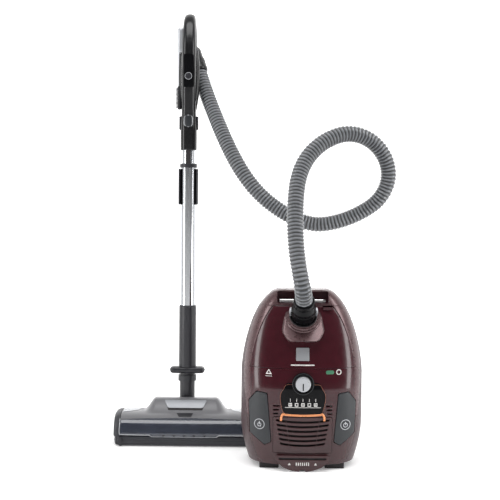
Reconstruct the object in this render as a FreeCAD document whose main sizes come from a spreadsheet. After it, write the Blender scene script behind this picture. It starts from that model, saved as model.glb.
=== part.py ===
import FreeCAD, Part
import math
import os
import re
import Sketcher

# Canister vacuum cleaner parked on its tail, with hose, telescopic wand and powered floor head.
# +Z is up, -Y is the front, and all sizes are in millimetres.
# The canister group has its own local origin on the floor under its axis, and so has the wand.

V = FreeCAD.Vector
TURN_Y = FreeCAD.Rotation(V(0, 1, 0), 90)      # a lathe's own Z becomes +X
TURN_X = FreeCAD.Rotation(V(1, 0, 0), 90)      # a lathe's own Z becomes -Y
UPRIGHT = FreeCAD.Rotation()

SIZES = [
    # where the two groups stand
    ("can_x", 172, "canister axis, left to right"),
    ("can_y", -120, "canister axis, front to back"),
    ("wand_x", -134, "wand axis, left to right"),
    ("wand_y", 147, "wand axis, front to back"),
    # canister body
    ("can_width", 304, "widest part of the body"),
    ("can_height", 438, "floor to the carry bar"),
    ("tail_z", 14, "underside of the tail above the floor"),
    ("full_from", 110, "the width is full from here"),
    ("full_to", 235, "the width is full up to here"),
    ("front_depth", 119, "axis to the front face at the tail"),
    ("back_depth", 95, "axis to the underside"),
    ("nose_front", 45, "axis to the front at the nose"),
    ("nose_back", 42, "axis to the underside at the nose"),
    ("wall", 3, "shell wall"),
    ("gap", 0.8, "open joint between shell parts"),
    ("lid_z", 250, "lower edge of the dust lid"),
    ("bar_z", 400, "lower edge of the carry handle piece"),
    ("seam_foot_y", -90, "seam of the lower shell at the floor"),
    ("seam_y", -68, "seam of the lower shell beside the pedals"),
    ("seam_from", 130, "height of that point, where the side trim starts"),
    ("seam_nose_y", -16, "the seam at the nose"),
    ("trim_width", 20, "side trim at its lower end, front to back"),
    ("trim_nose_width", 34, "side trim at the nose, front to back"),
    ("slot_half", 58, "half length of the carry slot"),
    # what sits on the tail
    ("knob_z", 215, "knob axis above the floor"),
    ("knob_ring_dia", 54, "fixed ring round the dial"),
    ("dial_dia", 38, "turning dial"),
    ("panel_top", 217, "top of the control panel"),
    ("panel_foot", 137, "bottom of the control panel"),
    ("panel_half", 55, "half width of the control panel"),
    ("panel_proud", 3, "panel in front of the shell"),
    ("pedal_thick", 6, "pedal plate"),
    ("door_half", 72, "half width of the exhaust door"),
    ("door_foot", 44, "lower edge of the exhaust door"),
    ("door_top", 133, "upper edge of the exhaust door"),
    ("slot_pitch", 11.5, "pitch of the exhaust slots"),
    ("tab_half", 70, "half width of the tail tab"),
    ("tab_height", 41, "height of the tail tab"),
    ("tab_thick", 6, "tail tab"),
    ("foot_width", 48, "tail foot, left to right"),
    ("foot_x", 81, "tail foot axis from the canister axis"),
    # inlet and hose
    ("inlet_y", -71, "inlet centre on the lid"),
    ("inlet_z", 370, "inlet centre above the floor"),
    ("inlet_lean", 50, "inlet axis from the vertical, degrees"),
    ("surround_half", 54, "half width of the inlet surround"),
    ("surround_top_half", 43, "half width of the surround at its top"),
    ("surround_foot", 315, "lower edge of the inlet surround"),
    ("surround_top", 388, "upper edge of the inlet surround"),
    ("collar_dia", 88, "inlet collar"),
    ("cuff_dia", 60, "hose cuff in the collar"),
    ("cuff_length", 64, "hose cuff, along its axis"),
    ("hose_dia", 42, "hose over its ribs"),
    ("hose_bore", 34, "hose bore"),
    ("swivel_dia", 50, "hose swivel at the handle"),
    ("swivel_length", 40, "hose swivel at the handle"),
    # rolling gear
    ("wheel_dia", 96, "main wheel over its tyre"),
    ("wheel_width", 22, "main wheel"),
    ("wheel_x", 124, "main wheel middle from the canister axis"),
    ("wheel_y", 62, "main wheel axis behind the canister axis"),
    ("wheel_z", 85, "main wheel axis above the floor"),
    ("tyre_thick", 7, "main wheel tyre"),
    ("axle_dia", 10, "main wheel axle"),
    ("caster_z", 340, "caster stem above the floor"),
    ("caster_dia", 34, "caster wheel"),
    ("stem_dia", 12, "caster stem"),
    # inside the canister
    ("deck_z", 222, "bulkhead between dust and motor rooms"),
    ("motor_dia", 118, "motor housing"),
    ("motor_x", 54, "motor axis from the canister axis"),
    ("motor_foot", 60, "lower end of the motor housing"),
    ("motor_length", 144, "motor housing"),
    ("rotor_dia", 62, "motor rotor"),
    ("impeller_dia", 98, "suction impeller"),
    ("shaft_dia", 8, "motor shaft"),
    ("reel_dia", 104, "cord reel"),
    ("reel_x", -76, "reel axis from the canister axis"),
    ("reel_foot", 146, "lower face of the cord reel"),
    ("reel_height", 52, "cord reel"),
    ("fit", 0.05, "running clearance on a radius"),
    # wand
    ("tube_dia", 42, "outer wand tube"),
    ("tube_wall", 1.2, "wand tubes"),
    ("tube_foot", 352, "lower end of the outer tube"),
    ("tube_top", 754, "upper end of the outer tube"),
    ("inner_dia", 36, "inner wand tube"),
    ("inner_foot", 420, "lower end of the inner tube"),
    ("inner_top", 812, "upper end of the inner tube"),
    ("sleeve_dia", 47.5, "lower sleeve"),
    ("sleeve_foot", 196, "lower end of the sleeve"),
    ("sleeve_top", 366, "upper end of the sleeve"),
    ("spigot_dia", 40, "spigot under the sleeve"),
    ("bar_width", 99, "wand release bar"),
    ("bar_height", 18, "wand release bar"),
    ("neck_top", 172, "upper end of the neck"),
    ("neck_dia", 41.5, "neck"),
    ("neck_collar_dia", 50, "collar at the top of the neck"),
    ("neck_collar", 16, "collar height"),
    ("pivot_z", 56, "tilt axis above the floor"),
    ("knuckle_dia", 50, "neck knuckle"),
    ("knuckle_half", 28, "half length of the knuckle"),
    ("pin_dia", 10, "tilt pin"),
    # floor head
    ("head_half", 190, "half width of the floor head"),
    ("head_front", -139, "front of the bumper from the wand axis"),
    ("head_back", -12, "back of the brush chamber from the wand axis"),
    ("bumper_height", 25, "top of the bumper"),
    ("bumper_thick", 6, "bumper"),
    ("ground", 2, "floor clearance of the head"),
    ("window_top", 70, "top of the clear window"),
    ("cover_top", 82, "top of the side covers"),
    ("hump_half", 100, "half width of the hump"),
    ("hump_top", 114, "top of the hump"),
    ("skin", 2.5, "head cover wall"),
    ("brush_y", -86, "brush axis from the wand axis"),
    ("brush_z", 27, "brush axis above the floor"),
    ("brush_dia", 34, "brush core"),
    ("brush_half", 156, "half length of the brush"),
    ("brush_motor_dia", 42, "brush motor"),
    ("brush_motor_z", 60, "brush motor axis above the floor"),
    ("brush_motor_y", -46, "brush motor axis from the wand axis"),
    ("belt_x", 164, "belt middle from the wand axis"),
    ("pulley_big", 28, "brush pulley"),
    ("pulley_small", 12, "motor pulley"),
    ("roller_dia", 34, "rear roller"),
    ("roller_y", 20, "rear roller axis from the wand axis"),
    ("roller_x", 62, "rear roller middle from the wand axis"),
    # handle
    ("handle_foot", 790, "lower end of the handle"),
    ("handle_top", 1168, "top of the grip"),
    ("handle_half", 20, "half width of the handle"),
    ("socket_dia", 45, "handle socket"),
    ("button_z", 871, "release button above the floor"),
    ("switch_z", 992, "power button above the floor"),
]

# Route of the hose, from the cuff on the lid to the swivel on the handle.
HOSE = [(172, -242, 412), (170, -272, 438), (160, -282, 486), (151, -268, 541), (148, -244, 600),
        (149, -216, 661), (156, -187, 720), (180, -160, 772), (225, -136, 812), (283, -111, 833),
        (341, -91, 818), (382, -75, 775), (396, -60, 719), (374, -46, 664), (327, -33, 629),
        (268, -23, 604), (208, -12, 594), (150, 0, 612), (96, 16, 644), (50, 31, 685),
        (13, 51, 734), (-17, 79, 787), (-43, 110, 842), (-67, 144, 899), (-90, 177, 956),
        (-108, 205, 1009)]

doc = FreeCAD.newDocument("canister_vacuum_cleaner")
sheet = doc.addObject("Spreadsheet::Sheet", "sizes")
for row, (alias, value, note) in enumerate(SIZES, start=1):
    sheet.set(f"A{row}", alias)
    sheet.set(f"B{row}", str(value))
    sheet.set(f"C{row}", note)
    sheet.setAlias(f"B{row}", alias)
doc.recompute()
D = {alias: float(sheet.get(alias)) for alias, value, note in SIZES}
NODES = {}


def bound(text):
    """An expression on the sheet's aliases, as other objects read it."""
    return re.sub(r"\b([a-z][a-z_]+)\b", r"sizes.\1", str(text))


def number(text):
    """The value that an expression has now."""
    return float(sheet.evalExpression(bound(text)))


def place(item, at, rotation=UPRIGHT):
    """Stand an object at a place given as three expressions."""
    item.Placement = FreeCAD.Placement(V(*[number(part) for part in at]), rotation)
    for letter, part in zip("xyz", at):
        item.setExpression(f"Placement.Base.{letter}", bound(part))
    return item


def node(name, item):
    """Give a finished sub-part its label."""
    item.Label = name
    NODES[name] = item
    return item


def can(x=0, y=0, z=0):
    """A place in the canister group, as expressions."""
    return (f"can_x + ({x})", f"can_y + ({y})", f"{z}")


def wand(x=0, y=0, z=0):
    """A place in the wand group, as expressions."""
    return (f"wand_x + ({x})", f"wand_y + ({y})", f"{z}")


def closed_sketch(body, role, points):
    """A closed outline of straight lines whose corners are bound to the sheet."""
    sketch = body.newObject("Sketcher::SketchObject", body.Name + "_outline")
    plane = [item for item in body.Origin.OriginFeatures if item.Role == role][0]
    sketch.AttachmentSupport = (plane, "")
    sketch.MapMode = "FlatFace"
    corners = [V(number(a), number(b), 0) for a, b in points]
    count = len(corners)
    for i in range(count):
        sketch.addGeometry(Part.LineSegment(corners[i], corners[(i + 1) % count]), False)
    for i in range(count):
        sketch.addConstraint(Sketcher.Constraint("Coincident", i, 2, (i + 1) % count, 1))
    for i, point in enumerate(points):
        for kind, part, now in zip(("DistanceX", "DistanceY"), point, corners[i]):
            made = sketch.addConstraint(Sketcher.Constraint(kind, -1, 1, i, 1, now))
            sketch.setExpression(f"Constraints[{made}]", bound(part))
    return sketch


def lathe(name, points, at, rotation=UPRIGHT):
    """A body turned about its own Z from corners of radius and height."""
    body = doc.addObject("PartDesign::Body", name + "_body")
    sketch = closed_sketch(body, "XZ_Plane", points)
    doc.recompute()
    turned = body.newObject("PartDesign::Revolution", name + "_turned")
    turned.Profile = sketch
    turned.ReferenceAxis = (sketch, ["V_Axis"])
    turned.Angle = 360
    return place(body, at, rotation)


def tube(name, outer, inner, low, high, at, rotation=UPRIGHT):
    """A plain ring: outer and inner diameters between two heights."""
    points = [(f"({inner})/2", low), (f"({outer})/2", low), (f"({outer})/2", high), (f"({inner})/2", high)]
    return lathe(name, points, at, rotation)


def pad(name, points, low, high, at, role="XZ_Plane"):
    """A flat outline given thickness from low to high along its plane's normal axis, Y by default.

    A front view's outline (x, z) runs from y = low to y = high."""
    body = doc.addObject("PartDesign::Body", name + "_body")
    sketch = closed_sketch(body, role, points)
    doc.recompute()
    grown = body.newObject("PartDesign::Pad", name + "_grown")
    grown.Profile = sketch
    grown.UseCustomVector = True
    grown.Direction = {"XZ_Plane": V(0, 1, 0), "XY_Plane": V(0, 0, 1), "YZ_Plane": V(1, 0, 0)}[role]
    grown.Length = number(f"({high}) - ({low})")
    grown.setExpression("Length", bound(f"({high}) - ({low})"))
    offset = {"XZ_Plane": (0, low, 0), "XY_Plane": (0, 0, low), "YZ_Plane": (low, 0, 0)}[role]
    return place(body, [f"({a}) + ({b})" for a, b in zip(at, offset)])


def block(name, size, at):
    """A box centred on its place left to right and front to back, and standing on it."""
    item = doc.addObject("Part::Box", name + "_block")
    for side, part in zip(("Length", "Width", "Height"), size):
        item.setExpression(side, bound(part))
    return place(item, (f"{at[0]} - ({size[0]})/2", f"{at[1]} - ({size[1]})/2", at[2]))


def rod(name, dia, length, at, rotation=UPRIGHT):
    """A round bar along its own Z."""
    item = doc.addObject("Part::Cylinder", name + "_rod")
    item.setExpression("Radius", bound(f"({dia})/2"))
    item.setExpression("Height", bound(length))
    return place(item, at, rotation)


def cut(name, base, tool):
    """The base without the tool."""
    item = doc.addObject("Part::Cut", name + "_cut")
    item.Base = base
    item.Tool = tool
    return item


def fuse(name, *items):
    """Several objects as one solid."""
    item = doc.addObject("Part::MultiFuse", name + "_fused")
    item.Shapes = list(items)
    return item


def shaped(name, shape, at=(0, 0, 0)):
    """A sub-part whose surface only Part's own functions can make."""
    item = doc.addObject("Part::Feature", name)
    item.Shape = shape
    item.Placement = FreeCAD.Placement(V(*[number(part) for part in at]), UPRIGHT).multiply(shape.Placement)
    return node(name, item)


# ---------------------------------------------------------------- canister shell

NOSE_POWER, NOSE_ROOT = 1.5, 0.323      # how fast the width closes towards the nose
TAIL_PINCH, TAIL_POWER = 0.16, 1.68     # how much narrower the tail is, and how evenly
FRONT_SQUARE, BACK_SQUARE = 2.6, 3.4    # 2 is an ellipse, more is squarer
NOSE_OVERSHOOT = 12                     # the width would close this far above the carry bar
FAR = 600                               # larger than the canister


def half_width(z):
    """Half the body's width at a height: full in the middle, closing to the nose and a little to the tail."""
    full = D["can_width"] / 2
    if z > D["full_to"]:
        reach = (z - D["full_to"]) / (D["can_height"] + NOSE_OVERSHOOT - D["full_to"])
        return full * (1 - reach ** NOSE_POWER) ** NOSE_ROOT
    if z < D["full_from"]:
        return full * (1 - TAIL_PINCH * ((D["full_from"] - z) / D["full_from"]) ** TAIL_POWER)
    return full


def front(z):
    """Axis to the front surface at a height."""
    start = D["full_to"] - 35
    drop = max(0, z - start) / (D["can_height"] - start)
    tail = max(0, 30 - z) / 30
    return D["front_depth"] - (D["front_depth"] - D["nose_front"]) * drop ** 1.3 - 15 * tail ** 2


def back(z):
    """Axis to the underside at a height."""
    start = D["full_to"] + 15
    drop = max(0, z - start) / (D["can_height"] - start)
    tail = max(0, 30 - z) / 30
    return D["back_depth"] - (D["back_depth"] - D["nose_back"]) * drop ** 1.5 - 10 * tail ** 2


def ring(z, inset):
    """One closed section of the body, a squarish oval, drawn in by the inset."""
    points = []
    for i in range(28):
        angle = 2 * math.pi * i / 28
        c, s = math.cos(angle), math.sin(angle)
        power = 2 / (BACK_SQUARE if s > 0 else FRONT_SQUARE)
        depth = (back(z) if s > 0 else front(z)) - inset
        points.append(V((half_width(z) - inset) * math.copysign(abs(c) ** power, c),
                        depth * math.copysign(abs(s) ** power, s), z))
    curve = Part.BSplineCurve()
    curve.interpolate(points, PeriodicFlag=True)
    return Part.Wire([curve.toShape()])


def hull(low, high, inset):
    """The body's solid between two heights, drawn in by the inset."""
    levels = [0, 0.03, 0.08, 0.15, 0.23, 0.33, 0.43, 0.51, 0.58, 0.66, 0.74, 0.82, 0.89, 0.95, 0.985, 1]
    return Part.makeLoft([ring(low + (high - low) * level, inset) for level in levels], True, False)


def side_prism(points, half=FAR):
    """A side view's outline (y, z), run across the canister."""
    wire = Part.makePolygon([V(-half, y, z) for y, z in points + points[:1]])
    return Part.Face(wire).extrude(V(2 * half, 0, 0))


def front_prism(points, y_low, y_high):
    """A front view's outline (x, z), run from one depth to another."""
    wire = Part.makePolygon([V(x, y_low, z) for x, z in points + points[:1]])
    return Part.Face(wire).extrude(V(0, y_high - y_low, 0))


def slab(x0, x1, y0, y1, z0, z1):
    """A plain box from its limits."""
    return Part.makeBox(x1 - x0, y1 - y0, z1 - z0, V(x0, y0, z0))


def solid_of(shape):
    """The largest solid of a shape, so that a stray sliver is never kept."""
    return max(shape.Solids, key=lambda item: item.Volume)


def mirrored(shape):
    """The same piece on the other side of the canister axis."""
    return shape.mirror(V(0, 0, 0), V(1, 0, 0))


OUTER = hull(D["tail_z"], D["can_height"], 0)
INNER = hull(D["tail_z"] + D["wall"], D["bar_z"] - D["wall"], D["wall"])
SHELL = OUTER.common(slab(-FAR, FAR, -FAR, FAR, 0, D["bar_z"])).cut(INNER)
GAP = D["gap"]
SEAM = [(D["seam_foot_y"], 0), (D["seam_y"], D["seam_from"]), (D["seam_nose_y"], D["bar_z"])]
TRIM = [(D["seam_y"] - D["trim_width"], D["seam_from"]), (D["seam_nose_y"] - D["trim_nose_width"], D["bar_z"])]
TRIM_AT_LID = TRIM[0][0] + (TRIM[1][0] - TRIM[0][0]) * (D["lid_z"] - D["seam_from"]) / (
    D["bar_z"] - D["seam_from"])
INLET = V(0, D["inlet_y"], D["inlet_z"])
LEAN = math.radians(D["inlet_lean"])
ALONG = V(0, -math.sin(LEAN), math.cos(LEAN))   # out of the inlet
INLET_TURN = FreeCAD.Rotation(V(0, 0, 1), ALONG)
BUTTON_POCKET = 7                               # depth of a cuff button's seat from the cuff's skin

PEDAL = [(-132, 168), (-113, 192), (-88, 189), (-77.5, 71), (-92.5, 62), (-129, 89)]
PEDAL_GAP = [(-133.2, 168.5), (-113.5, 193.5), (-87, 190.4), (-76.2, 70.5), (-92.6, 60.6), (-130.3, 88.3)]


def pedal_shape():
    """A pedal that follows the body's shoulder, thicker than the shell, with a stem behind it."""
    skin = OUTER.cut(hull(D["tail_z"], D["can_height"], D["pedal_thick"]))
    plate = solid_of(skin.common(front_prism(PEDAL, -FAR, 0)))
    stem = slab(-112, -104, -100, -70, 128, 136)
    return solid_of(plate.fuse(stem.cut(OUTER.cut(hull(D["tail_z"], D["can_height"], 4)))))


def panel_outline(grow=0):
    """The control panel's shield, widest below its top and round at its foot."""
    half = D["panel_half"] + grow
    top, foot = D["panel_top"] + grow, D["panel_foot"] - grow
    return [(-half + 14, top), (half - 14, top), (half, top - 30), (half - 2, foot + 26),
            (half - 9, foot), (-half + 9, foot), (-half + 2, foot + 26), (-half, top - 30)]


def exhaust_slots():
    """The door's curved slots, lower in the middle, as a smile is."""
    slots = []
    count = int((D["door_top"] - D["door_foot"] - 12) // D["slot_pitch"])
    for i in range(count):
        middle = D["door_top"] - 8 - i * D["slot_pitch"]
        half = D["door_half"] - 7 - 2.2 * i
        sag = 5
        line = [(-half, middle), (-half / 2, middle - sag * 0.75), (0, middle - sag),
                (half / 2, middle - sag * 0.75), (half, middle)]
        slots.append(front_prism([(x, z + 2.2) for x, z in line] + [(x, z - 2.2) for x, z in line[::-1]],
                                 -FAR, 0))
    return slots


def wheel_well(grow):
    """The room round a main wheel, on the right."""
    middle = V(D["wheel_x"] - D["wheel_width"] / 2 - 3 - grow, D["wheel_y"], D["wheel_z"])
    return Part.makeCylinder(D["wheel_dia"] / 2 + 4 + grow, D["wheel_width"] + 6 + 2 * grow, middle, V(1, 0, 0))


def lower_shell():
    """The underside, from the seam back, open for pedals, wheels, caster and cord."""
    seam = SEAM + [(FAR, D["bar_z"]), (FAR, 0)]
    shape = SHELL.common(side_prism(seam))
    gap = front_prism(PEDAL_GAP, -FAR, -40)
    shape = shape.cut(gap).cut(mirrored(gap))
    well = wheel_well(0)
    shape = shape.cut(well).cut(mirrored(well))
    caster = Part.makeCylinder(D["stem_dia"] + 6, 60, V(0, 50, D["caster_z"]), V(0, 1, 0))
    outlet = Part.makeCylinder(12, 20, V(0, 50, 5), V(0, 0, 1))
    for place_of in SCREWS:
        shape = shape.cut(Part.makeCylinder(SCREW_HEAD / 2, 40, place_of, V(0, 1, 0)))
    shaped("lower_shell", solid_of(shape.cut(caster).cut(outlet)), can())


SCREW_HEAD = 7
SCREWS = [V(x, 82, z) for x in (-70, 70) for z in (40, 205)]


def tail_cover():
    """The front of the motor room, with seats for the panel, pedals, door and tab."""
    region = [(-FAR, 0), (D["seam_foot_y"] - 0.1, 0), (D["seam_y"] - 0.1, D["seam_from"]),
              (TRIM[0][0], D["seam_from"]), (TRIM_AT_LID, D["lid_z"]), (-FAR, D["lid_z"])]
    shape = SHELL.common(side_prism(region))
    gap = front_prism(PEDAL_GAP, -FAR, 0)
    door = slab(-D["door_half"] - GAP, D["door_half"] + GAP, -FAR, -60, D["door_foot"] - GAP,
                D["door_top"] + 2)
    panel = front_prism(panel_outline(), -FAR, -60)
    knob = Part.makeCylinder(D["knob_ring_dia"] / 2, 80, V(0, -160, D["knob_z"]), V(0, 1, 0))
    stem = slab(-21, 21, -FAR, -60, 19, 35)
    for tool in (gap, mirrored(gap), door, panel, knob, stem):
        shape = shape.cut(tool)
    shaped("tail_cover", solid_of(shape), can())


def side_trim():
    """The light band along the seam, with room for the latch to sink."""
    region = [(SEAM[1][0], D["seam_from"] + 0.1), (SEAM[2][0] - 0.1, D["bar_z"]),
              (TRIM[1][0], D["bar_z"]), (TRIM[0][0] + 0.1, D["seam_from"] + 0.1)]
    gap = front_prism(PEDAL_GAP, -FAR, 0)
    latch_way = slab(49, 75, -FAR, -30, 389.6, 398.4)
    pieces = SHELL.common(side_prism(region)).cut(gap).cut(mirrored(gap)).cut(latch_way)
    shaped("side_trim", Part.makeCompound(sorted(pieces.Solids, key=lambda item: -item.Volume)[:2]), can())


def dust_lid():
    """The lid over the bag, open for the inlet and the latch."""
    region = [(-FAR, D["lid_z"] + GAP), (TRIM_AT_LID - GAP, D["lid_z"] + GAP),
              (TRIM[1][0] - GAP, D["bar_z"] - GAP), (-FAR, D["bar_z"] - GAP)]
    shape = SHELL.common(side_prism(region))
    shape = shape.cut(front_prism(surround_outline(), -FAR, 0))
    shape = shape.cut(Part.makeCylinder(D["cuff_dia"] / 2 + 1, FAR, INLET, ALONG))
    shape = shape.cut(slab(49.5, 74.5, -FAR, -30, 390.2, 397.8))
    shaped("dust_lid", solid_of(shape), can())


def surround_outline():
    """The inlet surround's front view: narrower at the top, with its lower corners taken off."""
    half, foot, top = D["surround_half"], D["surround_foot"], D["surround_top"]
    narrow = D["surround_top_half"]
    return [(-narrow, top), (narrow, top), (half, foot + 24), (half - 16, foot), (-half + 16, foot),
            (-half, foot + 24)]


def inlet_surround():
    """A hump on the lid whose face looks along the hose cuff."""
    prism = front_prism(surround_outline(), -FAR, 0)
    behind = Part.makeCylinder(FAR, FAR, INLET, ALONG * -1)
    shape = prism.common(behind).cut(hull(D["tail_z"], D["can_height"], D["wall"] + 3))
    bore = Part.makeCylinder(25, 120, INLET - ALONG * 60, ALONG)
    shaped("inlet_surround", solid_of(shape.cut(bore)), can())


def carry_handle():
    """The nose piece with its finger slot, a narrow mouth in front that widens behind the bar."""
    low, high = D["bar_z"] + 0.1, D["can_height"]
    shape = OUTER.common(slab(-FAR, FAR, -FAR, FAR, low, FAR))
    slot = [(-FAR, low + 5.5), (-FAR, high - 25), (-18, high - 25), (8, high - 10), (FAR, high - 10),
            (FAR, low + 2.5), (8, low + 2.5)]
    shaped("carry_handle", solid_of(shape.cut(side_prism(slot, D["slot_half"]))), can())


def exhaust_door():
    """The slotted door over the exhaust filter."""
    region = slab(-D["door_half"], D["door_half"], -FAR, -60, D["door_foot"], D["door_top"] - GAP)
    shape = SHELL.common(region)
    for slot in exhaust_slots():
        shape = shape.cut(slot)
    shaped("exhaust_door", solid_of(shape), can())


def bulkhead():
    """The deck between the dust room and the motor room, with the pin that the cord reel turns on."""
    inside = hull(D["tail_z"], D["can_height"], D["wall"] + 0.3)
    plate = inside.common(slab(-FAR, FAR, -FAR, FAR, D["deck_z"], D["deck_z"] + 4))
    window = slab(D["motor_x"] - 40, D["motor_x"] + 40, -50, 30, D["deck_z"] - 1, D["deck_z"] + 5)
    pin = Part.makeCylinder(D["shaft_dia"] / 2, D["deck_z"] - D["reel_foot"] + 8,
                            V(D["reel_x"], -5, D["reel_foot"] - 8))
    shaped("bulkhead", solid_of(plate.cut(window).fuse(pin)), can())


for make in (lower_shell, tail_cover, side_trim, dust_lid, inlet_surround, carry_handle, exhaust_door,
             bulkhead):
    make()
shaped("rewind_pedal", pedal_shape(), can())
shaped("power_pedal", mirrored(pedal_shape()), can())

# ---------------------------------------------------------------- on the tail

PANEL_FACE = "-(front_depth + panel_proud)"
panel = pad("panel", panel_outline(), PANEL_FACE, "-front_depth + 6", can())
node("control_panel", cut("panel", panel, rod("panel_hole", "knob_ring_dia", 60,
                                              can(0, "-front_depth + 20", "knob_z"), TURN_X)))
node("knob_ring", lathe("knob_ring", [
    ("dial_dia/2 + 0.4", "front_depth - 6"), ("knob_ring_dia/2", "front_depth - 6"),
    ("knob_ring_dia/2", "front_depth + 3"), ("knob_ring_dia/2 - 3", "front_depth + 6"),
    ("dial_dia/2 + 0.4", "front_depth + 5")], can(0, 0, "knob_z"), TURN_X))
node("suction_dial", lathe("suction_dial", [
    (0, "front_depth - 12"), (4, "front_depth - 12"), (4, "front_depth - 2"), ("dial_dia/2", "front_depth - 2"),
    ("dial_dia/2", "front_depth + 10"), ("dial_dia/2 - 3", "front_depth + 13"), (0, "front_depth + 12")],
    can(0, 0, "knob_z"), TURN_X))
node("exhaust_filter", block("exhaust_filter", (132, 26, 84), can(0, -88, 47)))

tab_outline = [("-tab_half", "tab_height"), ("-tab_half*0.94", "tab_height*0.72"),
               ("-tab_half*0.72", "tab_height*0.36"), ("-tab_half*0.4", "tab_height*0.1"),
               ("-tab_half*0.14", 0), ("tab_half*0.14", 0), ("tab_half*0.4", "tab_height*0.1"),
               ("tab_half*0.72", "tab_height*0.36"), ("tab_half*0.94", "tab_height*0.72"),
               ("tab_half", "tab_height")]
tab = pad("tail_tab", tab_outline, "-(front_depth + tab_thick + 4)", "-(front_depth + 4)", can())
node("tail_tab", fuse("tail_tab", tab, block("tab_stem", (40, 20, 12), can(0, "-front_depth + 5", 21))))

feet = [slab(side * D["foot_x"] - D["foot_width"] / 2, side * D["foot_x"] + D["foot_width"] / 2,
             -88, 70, 0, D["tail_z"]) for side in (-1, 1)]
FOOT_ROUND = 5
shaped("tail_feet", Part.makeCompound([
    foot.makeFillet(FOOT_ROUND, [edge for edge in foot.Edges if edge.BoundBox.ZLength > 1]) for foot in feet]),
    can())
shaped("shell_screws", Part.makeCompound([
    Part.makeCylinder(SCREW_HEAD / 2 - 0.1, 10, place_of, V(0, 1, 0)) for place_of in SCREWS]), can())

# ---------------------------------------------------------------- inlet, cuff and lid latch

INLET_AT = can(0, "inlet_y", "inlet_z")
collar = lathe("inlet_collar", [
    ("cuff_dia/2 + 0.4", 0.05), ("collar_dia/2", 0.05), ("collar_dia/2 - 1", 6), ("cuff_dia/2 + 6", 13),
    ("cuff_dia/2 + 0.4", 13)], INLET_AT, INLET_TURN)
body_hull = doc.addObject("Part::Feature", "body_hull")
body_hull.Shape = hull(D["tail_z"], D["can_height"], -GAP)
body_hull.Placement = FreeCAD.Placement(V(D["can_x"], D["can_y"], 0), UPRIGHT)
node("inlet_collar", cut("inlet_collar", collar, body_hull))
cuff_body = lathe("hose_cuff", [
    ("hose_bore/2", 1), ("cuff_dia/2", 1), ("cuff_dia/2", "cuff_length - 12"),
    ("hose_dia/2 + 4", "cuff_length"), ("hose_bore/2", "cuff_length")], INLET_AT, INLET_TURN)
BUTTON_LOW, BUTTON_HIGH, BUTTON_WIDE = 18, 42, 14


def cuff_box(side, inner, outer, low, high, wide):
    """A box on one side of the cuff, set along the inlet's axis."""
    box = Part.makeBox(outer - inner, wide, high - low, V(inner, -wide / 2, low))
    if side < 0:
        box = box.mirror(V(0, 0, 0), V(1, 0, 0))
    box.Placement = FreeCAD.Placement(INLET, INLET_TURN)
    return box


cuff_pockets = Part.makeCompound([cuff_box(side, D["cuff_dia"] / 2 - BUTTON_POCKET, D["cuff_dia"],
                                           BUTTON_LOW - 1, BUTTON_HIGH + 1, BUTTON_WIDE + 2)
                                  for side in (-1, 1)])
doc.recompute()
pockets = doc.addObject("Part::Feature", "cuff_pockets")
pockets.Shape = cuff_pockets
pockets.Placement = FreeCAD.Placement(V(D["can_x"], D["can_y"], 0), UPRIGHT)
node("hose_cuff", cut("hose_cuff", cuff_body, pockets))
for name, side in (("cuff_button_left", -1), ("cuff_button_right", 1)):
    shaped(name, cuff_box(side, D["cuff_dia"] / 2 - 3.5, D["cuff_dia"] / 2 + 3.5, BUTTON_LOW, BUTTON_HIGH,
                          BUTTON_WIDE), can())
node("lid_latch", block("lid_latch", (24, 14, 6.6), can(62, -59, 390.7)))

# ---------------------------------------------------------------- dust room and motor room

bag = block("dust_bag", (176, 84, 128), can(0, 6, 234))
bag_round = doc.addObject("Part::Fillet", "dust_bag_round")
bag_round.Base = bag
doc.recompute()
BAG_ROUND = 22
bag_round.Edges = [(i + 1, BAG_ROUND, BAG_ROUND) for i in range(len(bag.Shape.Edges))]
node("dust_bag", bag_round)

MOTOR = can("motor_x", -10, "motor_foot")
node("motor_housing", lathe("motor_housing", [
    ("motor_dia/2 - 3", 4), ("motor_dia/2 - 3", "motor_length - 3"), (30, "motor_length - 3"),
    (30, "motor_length"), ("motor_dia/2", "motor_length"), ("motor_dia/2", 0), ("shaft_dia/2 + 6", 0),
    ("shaft_dia/2 + 6", 4)], MOTOR))
node("motor_rotor", lathe("motor_rotor", [
    (0, 6), ("shaft_dia/2", 6), ("shaft_dia/2", 22), ("rotor_dia/2", 22), ("rotor_dia/2", 82),
    ("shaft_dia/2", 82), ("shaft_dia/2", 98), ("impeller_dia/2", 98), ("impeller_dia/2", 104), (22, 120),
    (0, 120)], MOTOR))

REEL = can("reel_x", -5, "reel_foot")
node("cord_reel", lathe("cord_reel", [
    ("shaft_dia/2 + fit", 0), ("reel_dia/2", 0), ("reel_dia/2", 3), ("reel_dia/2 - 24", 3),
    ("reel_dia/2 - 24", "reel_height - 3"), ("reel_dia/2", "reel_height - 3"), ("reel_dia/2", "reel_height"),
    ("shaft_dia/2 + fit", "reel_height")], REEL))
node("cord_outlet", tube("cord_outlet", 24, 12, 9, 20, can(0, 50, 0)))

# ---------------------------------------------------------------- rolling gear

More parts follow.
